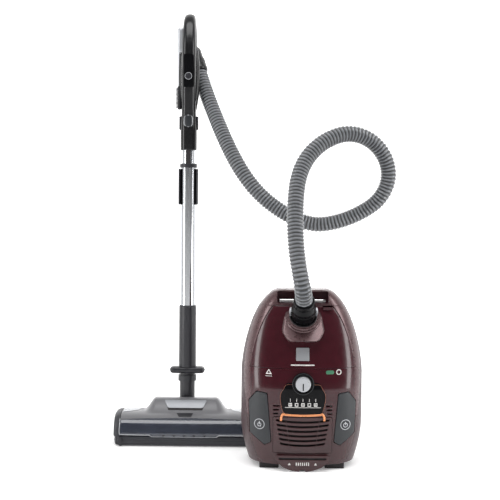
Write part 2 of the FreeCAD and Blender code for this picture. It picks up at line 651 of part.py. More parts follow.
node("wheel_axles", shaped("wheel_axles", Part.makeCompound([
    Part.makeCylinder(D["axle_dia"] / 2, D["wheel_width"] + 4,
                      V(D["wheel_x"] - D["wheel_width"] / 2 - 3 if side > 0
                        else -D["wheel_x"] + D["wheel_width"] / 2 + 3, D["wheel_y"], D["wheel_z"]),
                      V(side, 0, 0)) for side in (-1, 1)]), can()))
for name, side in (("left", -1), ("right", 1)):
    hub_at = can(f"{side}*wheel_x", "wheel_y", "wheel_z")
    rim = "wheel_dia/2 - tyre_thick"
    node(f"wheel_{name}", lathe(f"wheel_{name}", [
        ("axle_dia/2 + fit", "-wheel_width/2"), (14, "-wheel_width/2"), (14, -5), (f"{rim} - 5", -5),
        (f"{rim} - 5", "-wheel_width/2"), (rim, "-wheel_width/2"), (rim, "wheel_width/2"),
        (f"{rim} - 5", "wheel_width/2"), (f"{rim} - 5", 5), (14, 5), (14, "wheel_width/2"),
        ("axle_dia/2 + fit", "wheel_width/2")], hub_at, TURN_Y))
    node(f"tyre_{name}", lathe(f"tyre_{name}", [
        (rim, "-wheel_width/2"), ("wheel_dia/2 - 3", "-wheel_width/2"), ("wheel_dia/2", "-wheel_width/2 + 4"),
        ("wheel_dia/2", "wheel_width/2 - 4"), ("wheel_dia/2 - 3", "wheel_width/2"), (rim, "wheel_width/2")],
        hub_at, TURN_Y))

TURN_BACK = FreeCAD.Rotation(V(1, 0, 0), -90)   # a lathe's own Z becomes +Y
CASTER = can(0, 0, "caster_z")
node("caster_socket", tube("caster_socket", "2*(stem_dia + 6)", "stem_dia + 2*fit", 55, 79, CASTER, TURN_BACK))
fork_disc = rod("fork_disc", 36, 4, can(0, 79.5, "caster_z"), TURN_BACK)
fork_stem = rod("fork_stem", "stem_dia", 22, can(0, 58, "caster_z"), TURN_BACK)
cheeks = [block(f"fork_cheek_{i}", (3, 24, 16), can(x, 94, "caster_z - 8")) for i, x in enumerate((-9.5, 9.5))]
pin = rod("fork_pin", 5, 20, can(-10, "119 - caster_dia/2", "caster_z"), TURN_Y)
node("caster_fork", fuse("caster_fork", fork_disc, fork_stem, cheeks[0], cheeks[1], pin))
node("caster_wheel", tube("caster_wheel", "caster_dia - 0.6", "5 + 2*fit", -7, 7,
                          can(0, "119 - caster_dia/2", "caster_z"), TURN_Y))

# ---------------------------------------------------------------- hose


def tangent_path(points):
    """Straight runs joined by tangent arcs, each as large as its two runs allow."""
    points = [V(*point) for point in points]
    edges, here = [], points[0]
    for before, corner, after in zip(points, points[1:], points[2:]):
        into, out = corner - before, after - corner
        turn = into.getAngle(out)
        setback = 0.45 * min(into.Length, out.Length)
        print(f"hose bend radius {setback / math.tan(turn / 2):.0f} mm, turn {math.degrees(turn):.0f}")
        into.normalize()
        out.normalize()
        first, last = corner - into * setback, corner + out * setback
        inward = out - into
        inward.normalize()
        radius = setback / math.tan(turn / 2)
        centre = corner + inward * (radius / math.cos(turn / 2))
        edges.append(Part.LineSegment(here, first).toShape())
        edges.append(Part.Arc(first, centre - inward * radius, last).toShape())
        here = last
    edges.append(Part.LineSegment(here, points[-1]).toShape())
    return Part.Wire(edges)


path = tangent_path(HOSE)
run_in = V(*HOSE[1]) - V(*HOSE[0])
skin, bore = [path.makePipeShell([Part.Wire([Part.makeCircle(D[size] / 2, V(*HOSE[0]), run_in)])], True, True)
              for size in ("hose_dia", "hose_bore")]
hose = skin.cut(bore)
section = math.pi * ((D["hose_dia"] / 2) ** 2 - (D["hose_bore"] / 2) ** 2)
print(f"hose {path.Length:.0f} mm, volume ratio {hose.Volume / (section * path.Length):.4f}")
shaped("suction_hose", hose)

HOSE_END = V(*HOSE[-1])
INTO_HANDLE = HOSE_END - V(*HOSE[-2])
INTO_HANDLE.normalize()
SWIVEL_TURN = FreeCAD.Rotation(V(0, 0, 1), INTO_HANDLE)
node("hose_swivel", lathe("hose_swivel", [
    ("hose_bore/2", 0), ("hose_dia/2 + 2", 0), ("swivel_dia/2", 6), ("swivel_dia/2", "swivel_length"),
    ("hose_bore/2", "swivel_length")], [str(part) for part in HOSE_END], SWIVEL_TURN))

# ---------------------------------------------------------------- wand

WAND = wand()
node("inner_tube", tube("inner_tube", "inner_dia", "inner_dia - 2*tube_wall", "inner_foot", "inner_top", WAND))
node("outer_tube", tube("outer_tube", "tube_dia", "tube_dia - 2*tube_wall", "tube_foot", "tube_top", WAND))
node("lower_sleeve", lathe("lower_sleeve", [
    ("spigot_dia/2 - 2.5", "neck_top + 0.6"), ("spigot_dia/2", "neck_top + 0.6"), ("spigot_dia/2", "sleeve_foot"),
    ("sleeve_dia/2", "sleeve_foot"), ("sleeve_dia/2", "sleeve_top - 4"), ("sleeve_dia/2 - 2", "sleeve_top"),
    ("tube_dia/2", "sleeve_top"), ("tube_dia/2", "tube_foot"), ("spigot_dia/2 - 2.5", "tube_foot")], WAND))
plates = [block(f"slider_side_{i}", (4, 26, 98), wand(f"{side}*(tube_dia/2 + 2.8)", 0, "tube_top - 111"))
          for i, side in enumerate((-1, 1))]
bridge = block("slider_back", ("tube_dia + 9.6", 4, 98), wand(0, "tube_dia/2 + 3", "tube_top - 111"))
links = [block(f"slider_link_{i}", (4, 24, 98), wand(f"{side}*(tube_dia/2 + 2.8)", 12, "tube_top - 111"))
         for i, side in enumerate((-1, 1))]
node("tube_slider", fuse("tube_slider", plates[0], plates[1], bridge, links[0], links[1]))

bar_block = block("bar", ("bar_width", 40, "bar_height"), wand(0, -4, "sleeve_foot - bar_height - 0.4"))
node("release_bar", cut("bar", bar_block, rod("bar_hole", "spigot_dia + 0.8", 60, wand(0, 0, "sleeve_foot - 40"))))

neck_pipe = lathe("neck_pipe", [
    (14, "pivot_z + 16"), ("neck_dia/2", "pivot_z + 16"), ("neck_dia/2 + 4", "pivot_z + 42"),
    ("neck_dia/2", "pivot_z + 54"), ("neck_dia/2", "neck_top - neck_collar"),
    ("neck_collar_dia/2", "neck_top - neck_collar"), ("neck_collar_dia/2", "neck_top"),
    ("spigot_dia/2 - 2.5", "neck_top"), ("spigot_dia/2 - 2.5", "pivot_z + 30"), (14, "pivot_z + 30")], WAND)
knuckle = rod("knuckle", "knuckle_dia", "2*knuckle_half", wand("-knuckle_half", 0, "pivot_z"), TURN_Y)
neck = fuse("neck", neck_pipe, knuckle)
node("nozzle_neck", cut("neck_bored", neck, rod("neck_bore", "pin_dia + 2*fit", 120, wand(-60, 0, "pivot_z"),
                                                TURN_Y)))

# ---------------------------------------------------------------- floor head


def head_side(points, half):
    """A side view's outline of the floor head, run across it."""
    return side_prism(points, half)


def shell_of(outline, inner, half):
    """A hollow cover: a side outline without its inner outline."""
    return head_side(outline, half).cut(head_side(inner, half - D["skin"]))


HALF = D["head_half"]
FRONT, REAR = D["head_front"], D["head_back"]
LOW, BUMP = D["ground"], D["bumper_height"]
SKIN = D["skin"]
TOP, HUMP = D["cover_top"], D["hump_top"]
MOUTH = slab(-D["brush_half"] - 6, D["brush_half"] + 6, D["brush_y"] - 27, D["brush_y"] + 27, 0, BUMP)


def nozzle_base():
    """The sole: a tray with the brush mouth, and two arms at the back with the tilt pin and roller pegs."""
    tray = slab(-HALF + 7, HALF - 7, FRONT + 7, REAR, LOW + 2, BUMP)
    hollow = slab(-HALF + 10, HALF - 10, FRONT + 10, REAR - 3, LOW + 5, FAR)
    arms = []
    for side in (-1, 1):
        arm = slab(side * 36 - 5, side * 36 + 5, REAR - 1, 34, LOW + 4, 50)
        eye = Part.makeCylinder(14, 10, V(side * 36 - 5, 0, D["pivot_z"]), V(1, 0, 0))
        arms += [arm, eye]
    pin = Part.makeCylinder(D["pin_dia"] / 2, 82, V(-41, 0, D["pivot_z"]), V(1, 0, 0))
    axle = Part.makeCylinder(3, 142, V(-71, D["roller_y"], D["roller_dia"] / 2), V(1, 0, 0))
    axle = axle.cut(slab(-31, 31, -FAR, FAR, 0, FAR))
    shape = tray.cut(hollow).cut(MOUTH).multiFuse(arms + [pin] + axle.Solids)
    shaped("nozzle_base", solid_of(shape), wand())


def nozzle_bumper():
    """The soft strip round the front and the two ends."""
    outer = slab(-HALF, HALF, FRONT, REAR - 8, LOW, BUMP)
    corners = [edge for edge in outer.Edges if edge.BoundBox.ZLength > 1 and edge.BoundBox.YMin < FRONT + 1]
    outer = outer.makeFillet(22, corners)
    rim = D["bumper_thick"] + GAP
    inner = slab(-HALF + rim, HALF - rim, FRONT + rim, FAR, 0, FAR)
    shaped("nozzle_bumper", solid_of(outer.cut(inner)), wand())


def nozzle_window():
    """The clear front that shows the brush."""
    outline = [(FRONT + 4, BUMP + 0.2), (FRONT + 4, BUMP + 6), (FRONT + 24, D["window_top"]),
               (FRONT + 27, D["window_top"]), (FRONT + 7.5, BUMP + 5), (FRONT + 7.5, BUMP + 0.2)]
    shaped("nozzle_window", head_side(outline, D["head_half"] - 20), wand())


def nozzle_cover():
    """The two side covers and the hump, hollow for brush, belt and motor."""
    outline = [(FRONT + 24.5, D["window_top"] + 0.2), (FRONT + 40, TOP), (REAR, TOP - 6), (REAR, BUMP + 0.2),
               (REAR - SKIN, BUMP + 0.2), (REAR - SKIN, TOP - 6 - SKIN), (FRONT + 41, TOP - SKIN),
               (FRONT + 27.5, D["window_top"] + 0.2)]
    roof = head_side(outline, HALF - 8)
    ends = [slab(side * (HALF - 14) - 6, side * (HALF - 14) + 6, FRONT + 8, REAR, BUMP + 0.2, FAR)
            .common(head_side([(FRONT + 8, BUMP), (FRONT + 8, BUMP + 6), (FRONT + 26, D["window_top"]),
                               (FRONT + 40, TOP), (REAR, TOP - 6), (REAR, BUMP)], HALF))
            for side in (-1, 1)]
    hump_line = [(FRONT + 56, TOP - 3), (FRONT + 76, HUMP - 6), (FRONT + 98, HUMP), (REAR, HUMP),
                 (REAR, TOP - 6)]
    hump_in = [(FRONT + 60, 0), (FRONT + 60, TOP - 4), (FRONT + 78, HUMP - 6 - SKIN), (FRONT + 99, HUMP - SKIN),
               (REAR - SKIN, HUMP - SKIN), (REAR - SKIN, 0)]
    hump = head_side(hump_line, D["hump_half"])
    room = head_side(hump_in, D["hump_half"] - SKIN)
    shape = roof.multiFuse(ends + [hump]).cut(room)
    neck_way = slab(-30, 30, REAR - 13, FAR, 0, FAR).fuse(slab(-42, 42, REAR - 4, FAR, 0, TOP - 5))
    pedal_seat = front_prism([(-52, HUMP - 28), (52, HUMP - 28), (57, HUMP - 2), (-57, HUMP - 2)], -FAR,
                             FRONT + 80)
    shaped("nozzle_cover", solid_of(shape.cut(neck_way).cut(pedal_seat)), wand())


def pedal_plate():
    """The foot plate on the hump's front slope."""
    plate = front_prism([(-50, HUMP - 26), (50, HUMP - 26), (55, HUMP - 4), (-55, HUMP - 4)], FRONT + 50,
                        FRONT + 78)
    slope = head_side([(FRONT + 59, TOP), (FRONT + 78, HUMP - 4), (FRONT + 74, HUMP - 2), (FRONT + 54, TOP)], FAR)
    shaped("nozzle_pedal", solid_of(plate.common(slope)), wand())


def belt(big, small, width, grow):
    """A closed band round two pulleys, with a small clearance inside."""
    far = V(0, D["brush_motor_y"] - D["brush_y"], D["brush_motor_z"] - D["brush_z"])

    def band(extra):
        r1, r2 = big / 2 + extra, small / 2 + extra
        tilt = math.atan2(far.z, far.y)
        lean = math.acos((r1 - r2) / far.Length)
        up, down = tilt + lean, tilt - lean
        spots = [V(0, math.cos(up) * r1, math.sin(up) * r1), V(0, -math.cos(tilt) * r1, -math.sin(tilt) * r1),
                 V(0, math.cos(down) * r1, math.sin(down) * r1),
                 far + V(0, math.cos(down) * r2, math.sin(down) * r2),
                 far + V(0, math.cos(tilt) * r2, math.sin(tilt) * r2),
                 far + V(0, math.cos(up) * r2, math.sin(up) * r2)]
        edges = [Part.Arc(spots[0], spots[1], spots[2]).toShape(), Part.makeLine(spots[2], spots[3]),
                 Part.Arc(spots[3], spots[4], spots[5]).toShape(), Part.makeLine(spots[5], spots[0])]
        return Part.Face(Part.Wire(edges)).extrude(V(width, 0, 0))

    loop = band(grow + 1.8).cut(band(grow))
    loop.translate(V(D["belt_x"] - width / 2, D["brush_y"], D["brush_z"]))
    return loop


for make in (nozzle_base, nozzle_bumper, nozzle_window, nozzle_cover, pedal_plate):
    make()
shaped("brush_belt", belt(D["pulley_big"], D["pulley_small"], 8, 0.4), wand())

BRUSH = wand(0, "brush_y", "brush_z")
node("brush_roll", lathe("brush_roll", [
    (0, "-brush_half"), (5, "-brush_half"), ("brush_dia/2", "-brush_half + 4"), ("brush_dia/2", "brush_half - 4"),
    (5, "brush_half"), (5, "belt_x - 5"), ("pulley_big/2", "belt_x - 5"), ("pulley_big/2", "belt_x + 5"),
    (0, "belt_x + 5")], BRUSH, TURN_Y))
BRUSH_MOTOR = wand(0, "brush_motor_y", "brush_motor_z")
node("brush_motor", tube("brush_motor", "brush_motor_dia", "8 + 2*fit", 32, 94, BRUSH_MOTOR, TURN_Y))
node("motor_pulley", lathe("motor_pulley", [
    (0, 36), (4, 36), (4, "belt_x - 5"), ("pulley_small/2", "belt_x - 5"), ("pulley_small/2", "belt_x + 5"),
    (0, "belt_x + 5")], BRUSH_MOTOR, TURN_Y))
for name, side in (("left", -1), ("right", 1)):
    node(f"roller_{name}", tube(f"roller_{name}", "roller_dia", "6 + 2*fit", -7, 7,
                                wand(f"{side}*roller_x", "roller_y", "roller_dia/2"), TURN_Y))

# ---------------------------------------------------------------- handle


def handle_outline():
    """The handle from the side: socket, body, and the bow of the grip, as a smooth closed line."""
    foot, top = D["handle_foot"], D["handle_top"]
    return [(-22, foot), (-22, foot + 120), (-31, foot + 170), (-30, top - 128), (-24, top - 100),
            (-13, top - 52), (6, top - 16), (30, top - 2), (50, top), (76, top - 12), (92, top - 38),
            (96, top - 78), (90, top - 106), (66, top - 112), (36, top - 116), (24, top - 138),
            (22, foot + 120), (22, foot)]


def grip_hole():
    """The gap for the fingers, between the grip in front and the hose side behind."""
    top = D["handle_top"]
    return [(12, top - 90), (16, top - 60), (28, top - 34), (46, top - 30), (60, top - 42), (66, top - 68),
            (62, top - 88), (40, top - 94)]


def handle_body():
    """The handle's main solid, bored for the inner tube and open for the fingers."""
    half = D["handle_half"]
    shape = side_prism(handle_outline(), half)
    round_edges = [edge for edge in shape.Edges if edge.BoundBox.XLength < 0.01]
    shape = shape.makeFillet(7, round_edges)
    socket = Part.makeCylinder(D["socket_dia"] / 2, 60, V(0, 0, D["handle_foot"]), V(0, 0, 1))
    elbow_start = HOSE_END + INTO_HANDLE * (D["swivel_length"] + 0.6) - V(D["wand_x"], D["wand_y"], 0)
    elbow = Part.makeCylinder(D["swivel_dia"] / 2 - 2, 30, elbow_start, INTO_HANDLE)
    shape = shape.fuse(socket).cut(side_prism(grip_hole(), FAR)).fuse(elbow)
    bore = Part.makeCylinder(D["inner_dia"] / 2, D["inner_top"] - D["handle_foot"], V(0, 0, D["handle_foot"]),
                             V(0, 0, 1))
    conduit_way = slab(-7.5, 7.5, -FAR, 0, D["handle_foot"] - 1, D["tube_top"] + 58)
    seats = [front_prism([(-12, 855), (12, 855), (12, 887), (-12, 887)], -FAR, -12.5),
             Part.makeCylinder(10.4, 40, V(0, -50, D["switch_z"]), V(0, 1, 0))]
    for tool in [bore, conduit_way] + seats:
        shape = shape.cut(tool)
    shaped("handle_body", solid_of(shape), wand())


handle_body()
panel_line = [(-15, 962), (15, 962), (16, 1010), (13, 1054), (-13, 1054), (-16, 1010)]
plate = front_prism(panel_line, -34, -31.2)
plate = plate.cut(Part.makeCylinder(10.4, 40, V(0, -50, D["switch_z"]), V(0, 1, 0)))
shaped("handle_panel", solid_of(plate), wand())
node("power_button", rod("power_button", 20, 12, wand(0, -24, "switch_z"), TURN_X))
node("release_button", block("release_button", (22, 9, 30), wand(0, -20.5, "button_z - 15")))
node("brush_slider", fuse("brush_slider", block("slider_knob", (9, 14, 64), wand(-25.5, 10, 1064)),
                          block("slider_rail", (3, 6, 99), wand(-23, 9, 966))))
node("dusting_brush", block("dusting_brush", (9, 22, 61), wand(-25.5, 8, 905)))

# ---------------------------------------------------------------- check and write

doc.recompute()
failed = [item.Name for item in doc.Objects if {"Invalid", "Error"} & set(item.State)]
if failed:
    raise RuntimeError("failed objects: " + ", ".join(failed))
os.makedirs("parts", exist_ok=True)
for name, item in NODES.items():
    shape = item.Shape
    if shape.isNull() or not shape.isValid() or not shape.Solids:
        raise RuntimeError("bad sub-part: " + name)
    shape.exportStep(f"parts/{name}.step")
whole = Part.makeCompound([item.Shape for name, item in NODES.items() if name != "suction_hose"]).BoundBox
print(len(NODES), "nodes; x", whole.XMin, whole.XMax, "y", whole.YMin, whole.YMax, "z", whole.ZMin, whole.ZMax)
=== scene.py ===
import math

import bpy
import bmesh
import numpy as np
from mathutils import Matrix, Vector


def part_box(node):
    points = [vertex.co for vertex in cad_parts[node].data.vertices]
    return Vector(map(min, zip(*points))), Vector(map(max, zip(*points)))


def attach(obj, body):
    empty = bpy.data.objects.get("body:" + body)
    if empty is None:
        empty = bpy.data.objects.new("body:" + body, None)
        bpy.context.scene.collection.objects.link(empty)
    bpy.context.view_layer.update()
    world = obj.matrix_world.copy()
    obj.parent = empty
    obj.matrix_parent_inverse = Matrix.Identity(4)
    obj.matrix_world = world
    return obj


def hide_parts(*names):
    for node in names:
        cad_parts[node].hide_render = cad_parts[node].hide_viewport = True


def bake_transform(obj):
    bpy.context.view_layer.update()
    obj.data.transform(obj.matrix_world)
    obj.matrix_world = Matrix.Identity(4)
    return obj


bl_info = {
    "name": "Canister Vacuum Cleaner",
    "version": (1, 0, 0),
    "blender": (4, 5, 0),
    "location": "View3D > Sidebar > Vacuum",
    "description": "Shells, controls, hose, wand, floor head and finishes of a canister vacuum cleaner",
    "category": "Add Mesh",
}

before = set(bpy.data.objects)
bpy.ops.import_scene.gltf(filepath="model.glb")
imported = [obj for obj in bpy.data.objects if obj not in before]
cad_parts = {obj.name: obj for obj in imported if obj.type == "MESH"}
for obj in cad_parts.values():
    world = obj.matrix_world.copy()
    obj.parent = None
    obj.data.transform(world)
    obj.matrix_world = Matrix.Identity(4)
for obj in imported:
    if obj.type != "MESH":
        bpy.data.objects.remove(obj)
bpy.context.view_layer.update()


def middle(node):
    """Centre of a CAD node's box, in millimetres."""
    low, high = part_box(node)
    return (np.array(low) + np.array(high)) * 500.0


# The canister and the wand each have a local origin on the floor under their own axis.
CAN = np.array([middle("inlet_collar")[0], middle("cord_outlet")[1] - 50.0, 0.0])
WAND = np.array([middle("outer_tube")[0], middle("outer_tube")[1], 0.0])
TOP_OF_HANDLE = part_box("handle_body")[1][2] * 1000.0

# The hose runs on one smooth line through its control points, in metres.
HOSE = [(0.172, -0.242, 0.412), (0.170, -0.272, 0.438), (0.160, -0.282, 0.486), (0.151, -0.268, 0.541),
        (0.148, -0.244, 0.600), (0.149, -0.216, 0.661), (0.156, -0.187, 0.720), (0.180, -0.160, 0.772),
        (0.225, -0.136, 0.812), (0.283, -0.111, 0.833), (0.341, -0.091, 0.818), (0.382, -0.075, 0.775),
        (0.396, -0.060, 0.719), (0.374, -0.046, 0.664), (0.327, -0.033, 0.629), (0.268, -0.023, 0.604),
        (0.208, -0.012, 0.594), (0.150, 0.000, 0.612), (0.096, 0.016, 0.644), (0.050, 0.031, 0.685),
        (0.013, 0.051, 0.734), (-0.017, 0.079, 0.787), (-0.043, 0.110, 0.842), (-0.067, 0.144, 0.899),
        (-0.090, 0.177, 0.956), (-0.108, 0.205, 1.009)]

# ------------------------------------------------------------------ sizes and colours


def linear(code):
    """An sRGB hex value in linear light."""
    part = np.array([int(code[i:i + 2], 16) for i in (0, 2, 4)]) / 255.0
    return tuple(np.where(part <= 0.04045, part / 12.92, ((part + 0.055) / 1.055) ** 2.4).tolist())


def colour(name, note, code):
    return bpy.props.FloatVectorProperty(name=name, description=note, subtype="COLOR", size=3, min=0, max=1,
                                         default=linear(code))


def length(name, note, value):
    return bpy.props.FloatProperty(name=name, description=note, default=value, min=0.0, unit="LENGTH",
                                   subtype="DISTANCE")


class VacuumSizes(bpy.types.PropertyGroup):
    rib_pitch: length("Rib pitch", "Distance from one hose rib to the next", 0.0092)
    rib_depth: length("Rib depth", "Depth of the groove between two hose ribs", 0.0030)
    hose_diameter: length("Hose diameter", "Hose over its ribs", 0.042)
    wall: length("Shell wall", "Thickness of the moulded shells", 0.003)
    edge: length("Edge round", "Rounding of moulded edges", 0.0008)
    shell_step: length("Shell step", "Grid step of the moulded shells", 0.0028)
    plate_step: length("Plate step", "Grid step of pedals, panel and marks", 0.0012)


class VacuumColours(bpy.types.PropertyGroup):
    burgundy: colour("Burgundy", "Lid and tail", "3a0d17")
    mauve: colour("Mauve", "Side bands and inlet surround", "523b3d")
    pedal: colour("Pedal grey", "Foot pedals", "1f2226")
    hose: colour("Hose grey", "Hose ribs", "74777c")
    cover: colour("Cover grey", "Floor head cover", "68686b")
    black: colour("Black", "Gloss black parts", "0d0d0f")
    bumper: colour("Bumper grey", "Floor head bumper", "2a2b30")
    copper: colour("Copper", "Band under the control panel", "e0925f")


def sizes():
    return bpy.context.scene.vacuum_sizes


def colours():
    return bpy.context.scene.vacuum_colours


# ------------------------------------------------------------------ finishes


def add(tree, kind, settings=None, inputs=None):
    """Adds one shader node with its settings, values and links."""
    made = tree.nodes.new("ShaderNode" + kind)
    for key, value in (settings or {}).items():
        setattr(made, key, value)
    for key, value in (inputs or {}).items():
        if isinstance(value, bpy.types.NodeSocket):
            tree.links.new(value, made.inputs[key])
        else:
            made.inputs[key].default_value = value
    return made


def fresh(name, values):
    """A new material with its shader's constant values set on the shader's own sockets."""
    material = bpy.data.materials.new(name)
    material.use_nodes = True
    tree = material.node_tree
    shader = tree.nodes["Principled BSDF"]
    for key, value in values.items():
        shader.inputs[key].default_value = value
    return material, tree, shader


def ramp(tree, factor, low, high, start=0.3, end=0.7):
    """Turns a 0 to 1 pattern into a run from one colour to another."""
    made = add(tree, "ValToRGB", None, {"Fac": factor})
    stops = made.color_ramp.elements
    stops[0].position, stops[1].position = start, end
    stops[0].color, stops[1].color = (*low, 1), (*high, 1)
    return made.outputs["Color"]


def span(tree, factor, low, high, start=0.0, end=1.0):
    """Maps a pattern to a run of values."""
    return add(tree, "MapRange", None, {"Value": factor, "From Min": start, "From Max": end, "To Min": low,
                                        "To Max": high}).outputs["Result"]


def shade(tone, by):
    return tuple(min(1.0, part * by) for part in tone)


def noise(tree, where, millimetres, detail=2.0, roughness=0.5):
    """Noise whose cells are about the given size across."""
    return add(tree, "TexNoise", None, {"Vector": where, "Scale": 1000.0 / millimetres, "Detail": detail,
                                        "Roughness": roughness}).outputs["Fac"]


def moulded(name, tone, rough, grain=0.8, depth=0.02, coat=0.0, drift=0.10, values=None):
    """Moulded plastic: the pigment drifts a little, and the tool's texture breaks up the gloss."""
    start = {"IOR": 1.49, "Coat Weight": coat, "Coat Roughness": 0.06}
    start.update(values or {})
    material, tree, shader = fresh(name, start)
    where = add(tree, "TexCoord").outputs["Object"]
    pigment = ramp(tree, noise(tree, where, 45.0), shade(tone, 1 - drift), shade(tone, 1 + drift))
    tree.links.new(pigment, shader.inputs["Base Color"])
    wear = noise(tree, where, 9.0, 4.0)
    tree.links.new(span(tree, wear, rough * 0.85, rough * 1.2, 0.3, 0.7), shader.inputs["Roughness"])
    bump = add(tree, "Bump", None, {"Height": noise(tree, where, grain, 1.0), "Strength": 0.35,
                                    "Distance": depth * 0.001})
    tree.links.new(bump.outputs["Normal"], shader.inputs["Normal"])
    return material


def painted_shell(name, tone, floor_reflection_tone, from_z, to_z):
    """High-gloss pigmented ABS under a clear coat: deep red, painted lighter and more mauve towards the bottom of the
    tail as a painted reflection of the pale floor.
    """
    material, tree, shader = fresh(name, {"IOR": 1.5, "Coat Weight": 0.3, "Coat Roughness": 0.04,
                                          "Specular IOR Level": 0.35})
    where = add(tree, "TexCoord").outputs["Object"]
    height = add(tree, "SeparateXYZ", None, {"Vector": where}).outputs["Z"]
    # Below to_z the colour is the floor reflection tone: a painted reflection of the floor on the lower shell, fading
    # out by from_z.
    floor_reflection_fade = span(tree, height, 0.0, 1.0, to_z, from_z)
    tint = ramp(tree, floor_reflection_fade, floor_reflection_tone, tone, 0.0, 1.0)
    speck = ramp(tree, noise(tree, where, 30.0), (0.88, 0.88, 0.88), (1.0, 1.0, 1.0))
    both = add(tree, "MixRGB", {"blend_type": "MULTIPLY"}, {"Fac": 1.0, "Color1": tint, "Color2": speck})
    tree.links.new(both.outputs["Color"], shader.inputs["Base Color"])
    tree.links.new(span(tree, noise(tree, where, 12.0, 4.0), 0.17, 0.27, 0.3, 0.7), shader.inputs["Roughness"])
    # Moulded gloss shows a faint orange peel, drawn 3 mm across.
    bump = add(tree, "Bump", None, {"Height": noise(tree, where, 3.0, 1.0), "Strength": 0.12, "Distance": 0.00004})
    tree.links.new(bump.outputs["Normal"], shader.inputs["Normal"])
    return material


def flake_paint(name, tone, rough):
    """Metallic lacquer on ABS: fine flakes in a satin coat, so that light runs along the band."""
    material, tree, shader = fresh(name, {"Metallic": 0.55, "Coat Weight": 0.35, "Coat Roughness": 0.12})
    where = add(tree, "TexCoord").outputs["Object"]
    flake = noise(tree, where, 0.7, 1.0)
    tree.links.new(ramp(tree, flake, shade(tone, 0.93), shade(tone, 1.08)), shader.inputs["Base Color"])
    tree.links.new(span(tree, noise(tree, where, 10.0, 3.0), rough * 0.85, rough * 1.2, 0.3, 0.7),
                   shader.inputs["Roughness"])
    return material


def polished_tube(name, tone, rough, stretch):
    """Drawn and polished steel: hair lines along the tube."""
    material, tree, shader = fresh(name, {"Metallic": 1.0})
    where = add(tree, "TexCoord").outputs["Object"]
    pulled = add(tree, "Mapping", None, {"Vector": where, "Scale": (1.0, 1.0, stretch)}).outputs["Vector"]
    hair = noise(tree, pulled, 1.2, 3.0)
    tree.links.new(ramp(tree, hair, shade(tone, 0.92), shade(tone, 1.05)), shader.inputs["Base Color"])
    tree.links.new(span(tree, hair, rough * 0.8, rough * 1.3, 0.3, 0.7), shader.inputs["Roughness"])
    bump = add(tree, "Bump", None, {"Height": hair, "Strength": 0.15, "Distance": 0.00002})
    tree.links.new(bump.outputs["Normal"], shader.inputs["Normal"])
    return material


def hose_plastic(name, tone):
    """Blown soft PVC: satin ribs over grooves painted near black, a painted shade where the light does not reach."""
    material, tree, shader = fresh(name, {"IOR": 1.52, "Coat Weight": 0.5, "Coat Roughness": 0.1})
    groove = add(tree, "Attribute", {"attribute_name": "groove"}).outputs["Fac"]
    where = add(tree, "TexCoord").outputs["Object"]
    crest = ramp(tree, noise(tree, where, 20.0), shade(tone, 0.9), shade(tone, 1.1))
    both = add(tree, "MixRGB", None, {"Fac": groove, "Color1": crest, "Color2": (*shade(tone, 0.015), 1)})
    tree.links.new(both.outputs["Color"], shader.inputs["Base Color"])
    tree.links.new(span(tree, groove, 0.24, 0.6), shader.inputs["Roughness"])
    return material


def smoked_window(name, tone):
    """Clear polycarbonate tinted grey: gloss outside, and the brush dimly seen behind it."""
    material, tree, shader = fresh(name, {"IOR": 1.585, "Transmission Weight": 0.55, "Coat Weight": 0.5,
                                          "Coat Roughness": 0.05})
    where = add(tree, "TexCoord").outputs["Object"]
    tree.links.new(ramp(tree, noise(tree, where, 60.0), shade(tone, 0.9), shade(tone, 1.1)),
                   shader.inputs["Base Color"])
    tree.links.new(span(tree, noise(tree, where, 15.0, 3.0), 0.10, 0.18, 0.3, 0.7), shader.inputs["Roughness"])
    return material


def fleece(name, tone, thread):
    """Pressed non-woven fleece: crossing fibres, drawn as coarse as they need to show."""
    material, tree, shader = fresh(name, {"Sheen Weight": 0.4, "Roughness": 0.95})
    where = add(tree, "TexCoord").outputs["Object"]
    long_way = add(tree, "Mapping", None, {"Vector": where, "Scale": (1.0, 6.0, 1.0)}).outputs["Vector"]
    fibre = noise(tree, long_way, thread, 5.0, 0.7)
    tree.links.new(ramp(tree, fibre, shade(tone, 0.7), shade(tone, 1.15)), shader.inputs["Base Color"])
    bump = add(tree, "Bump", None, {"Height": fibre, "Strength": 0.6, "Distance": 0.0004})
    tree.links.new(bump.outputs["Normal"], shader.inputs["Normal"])
    return material


FINISH = {}


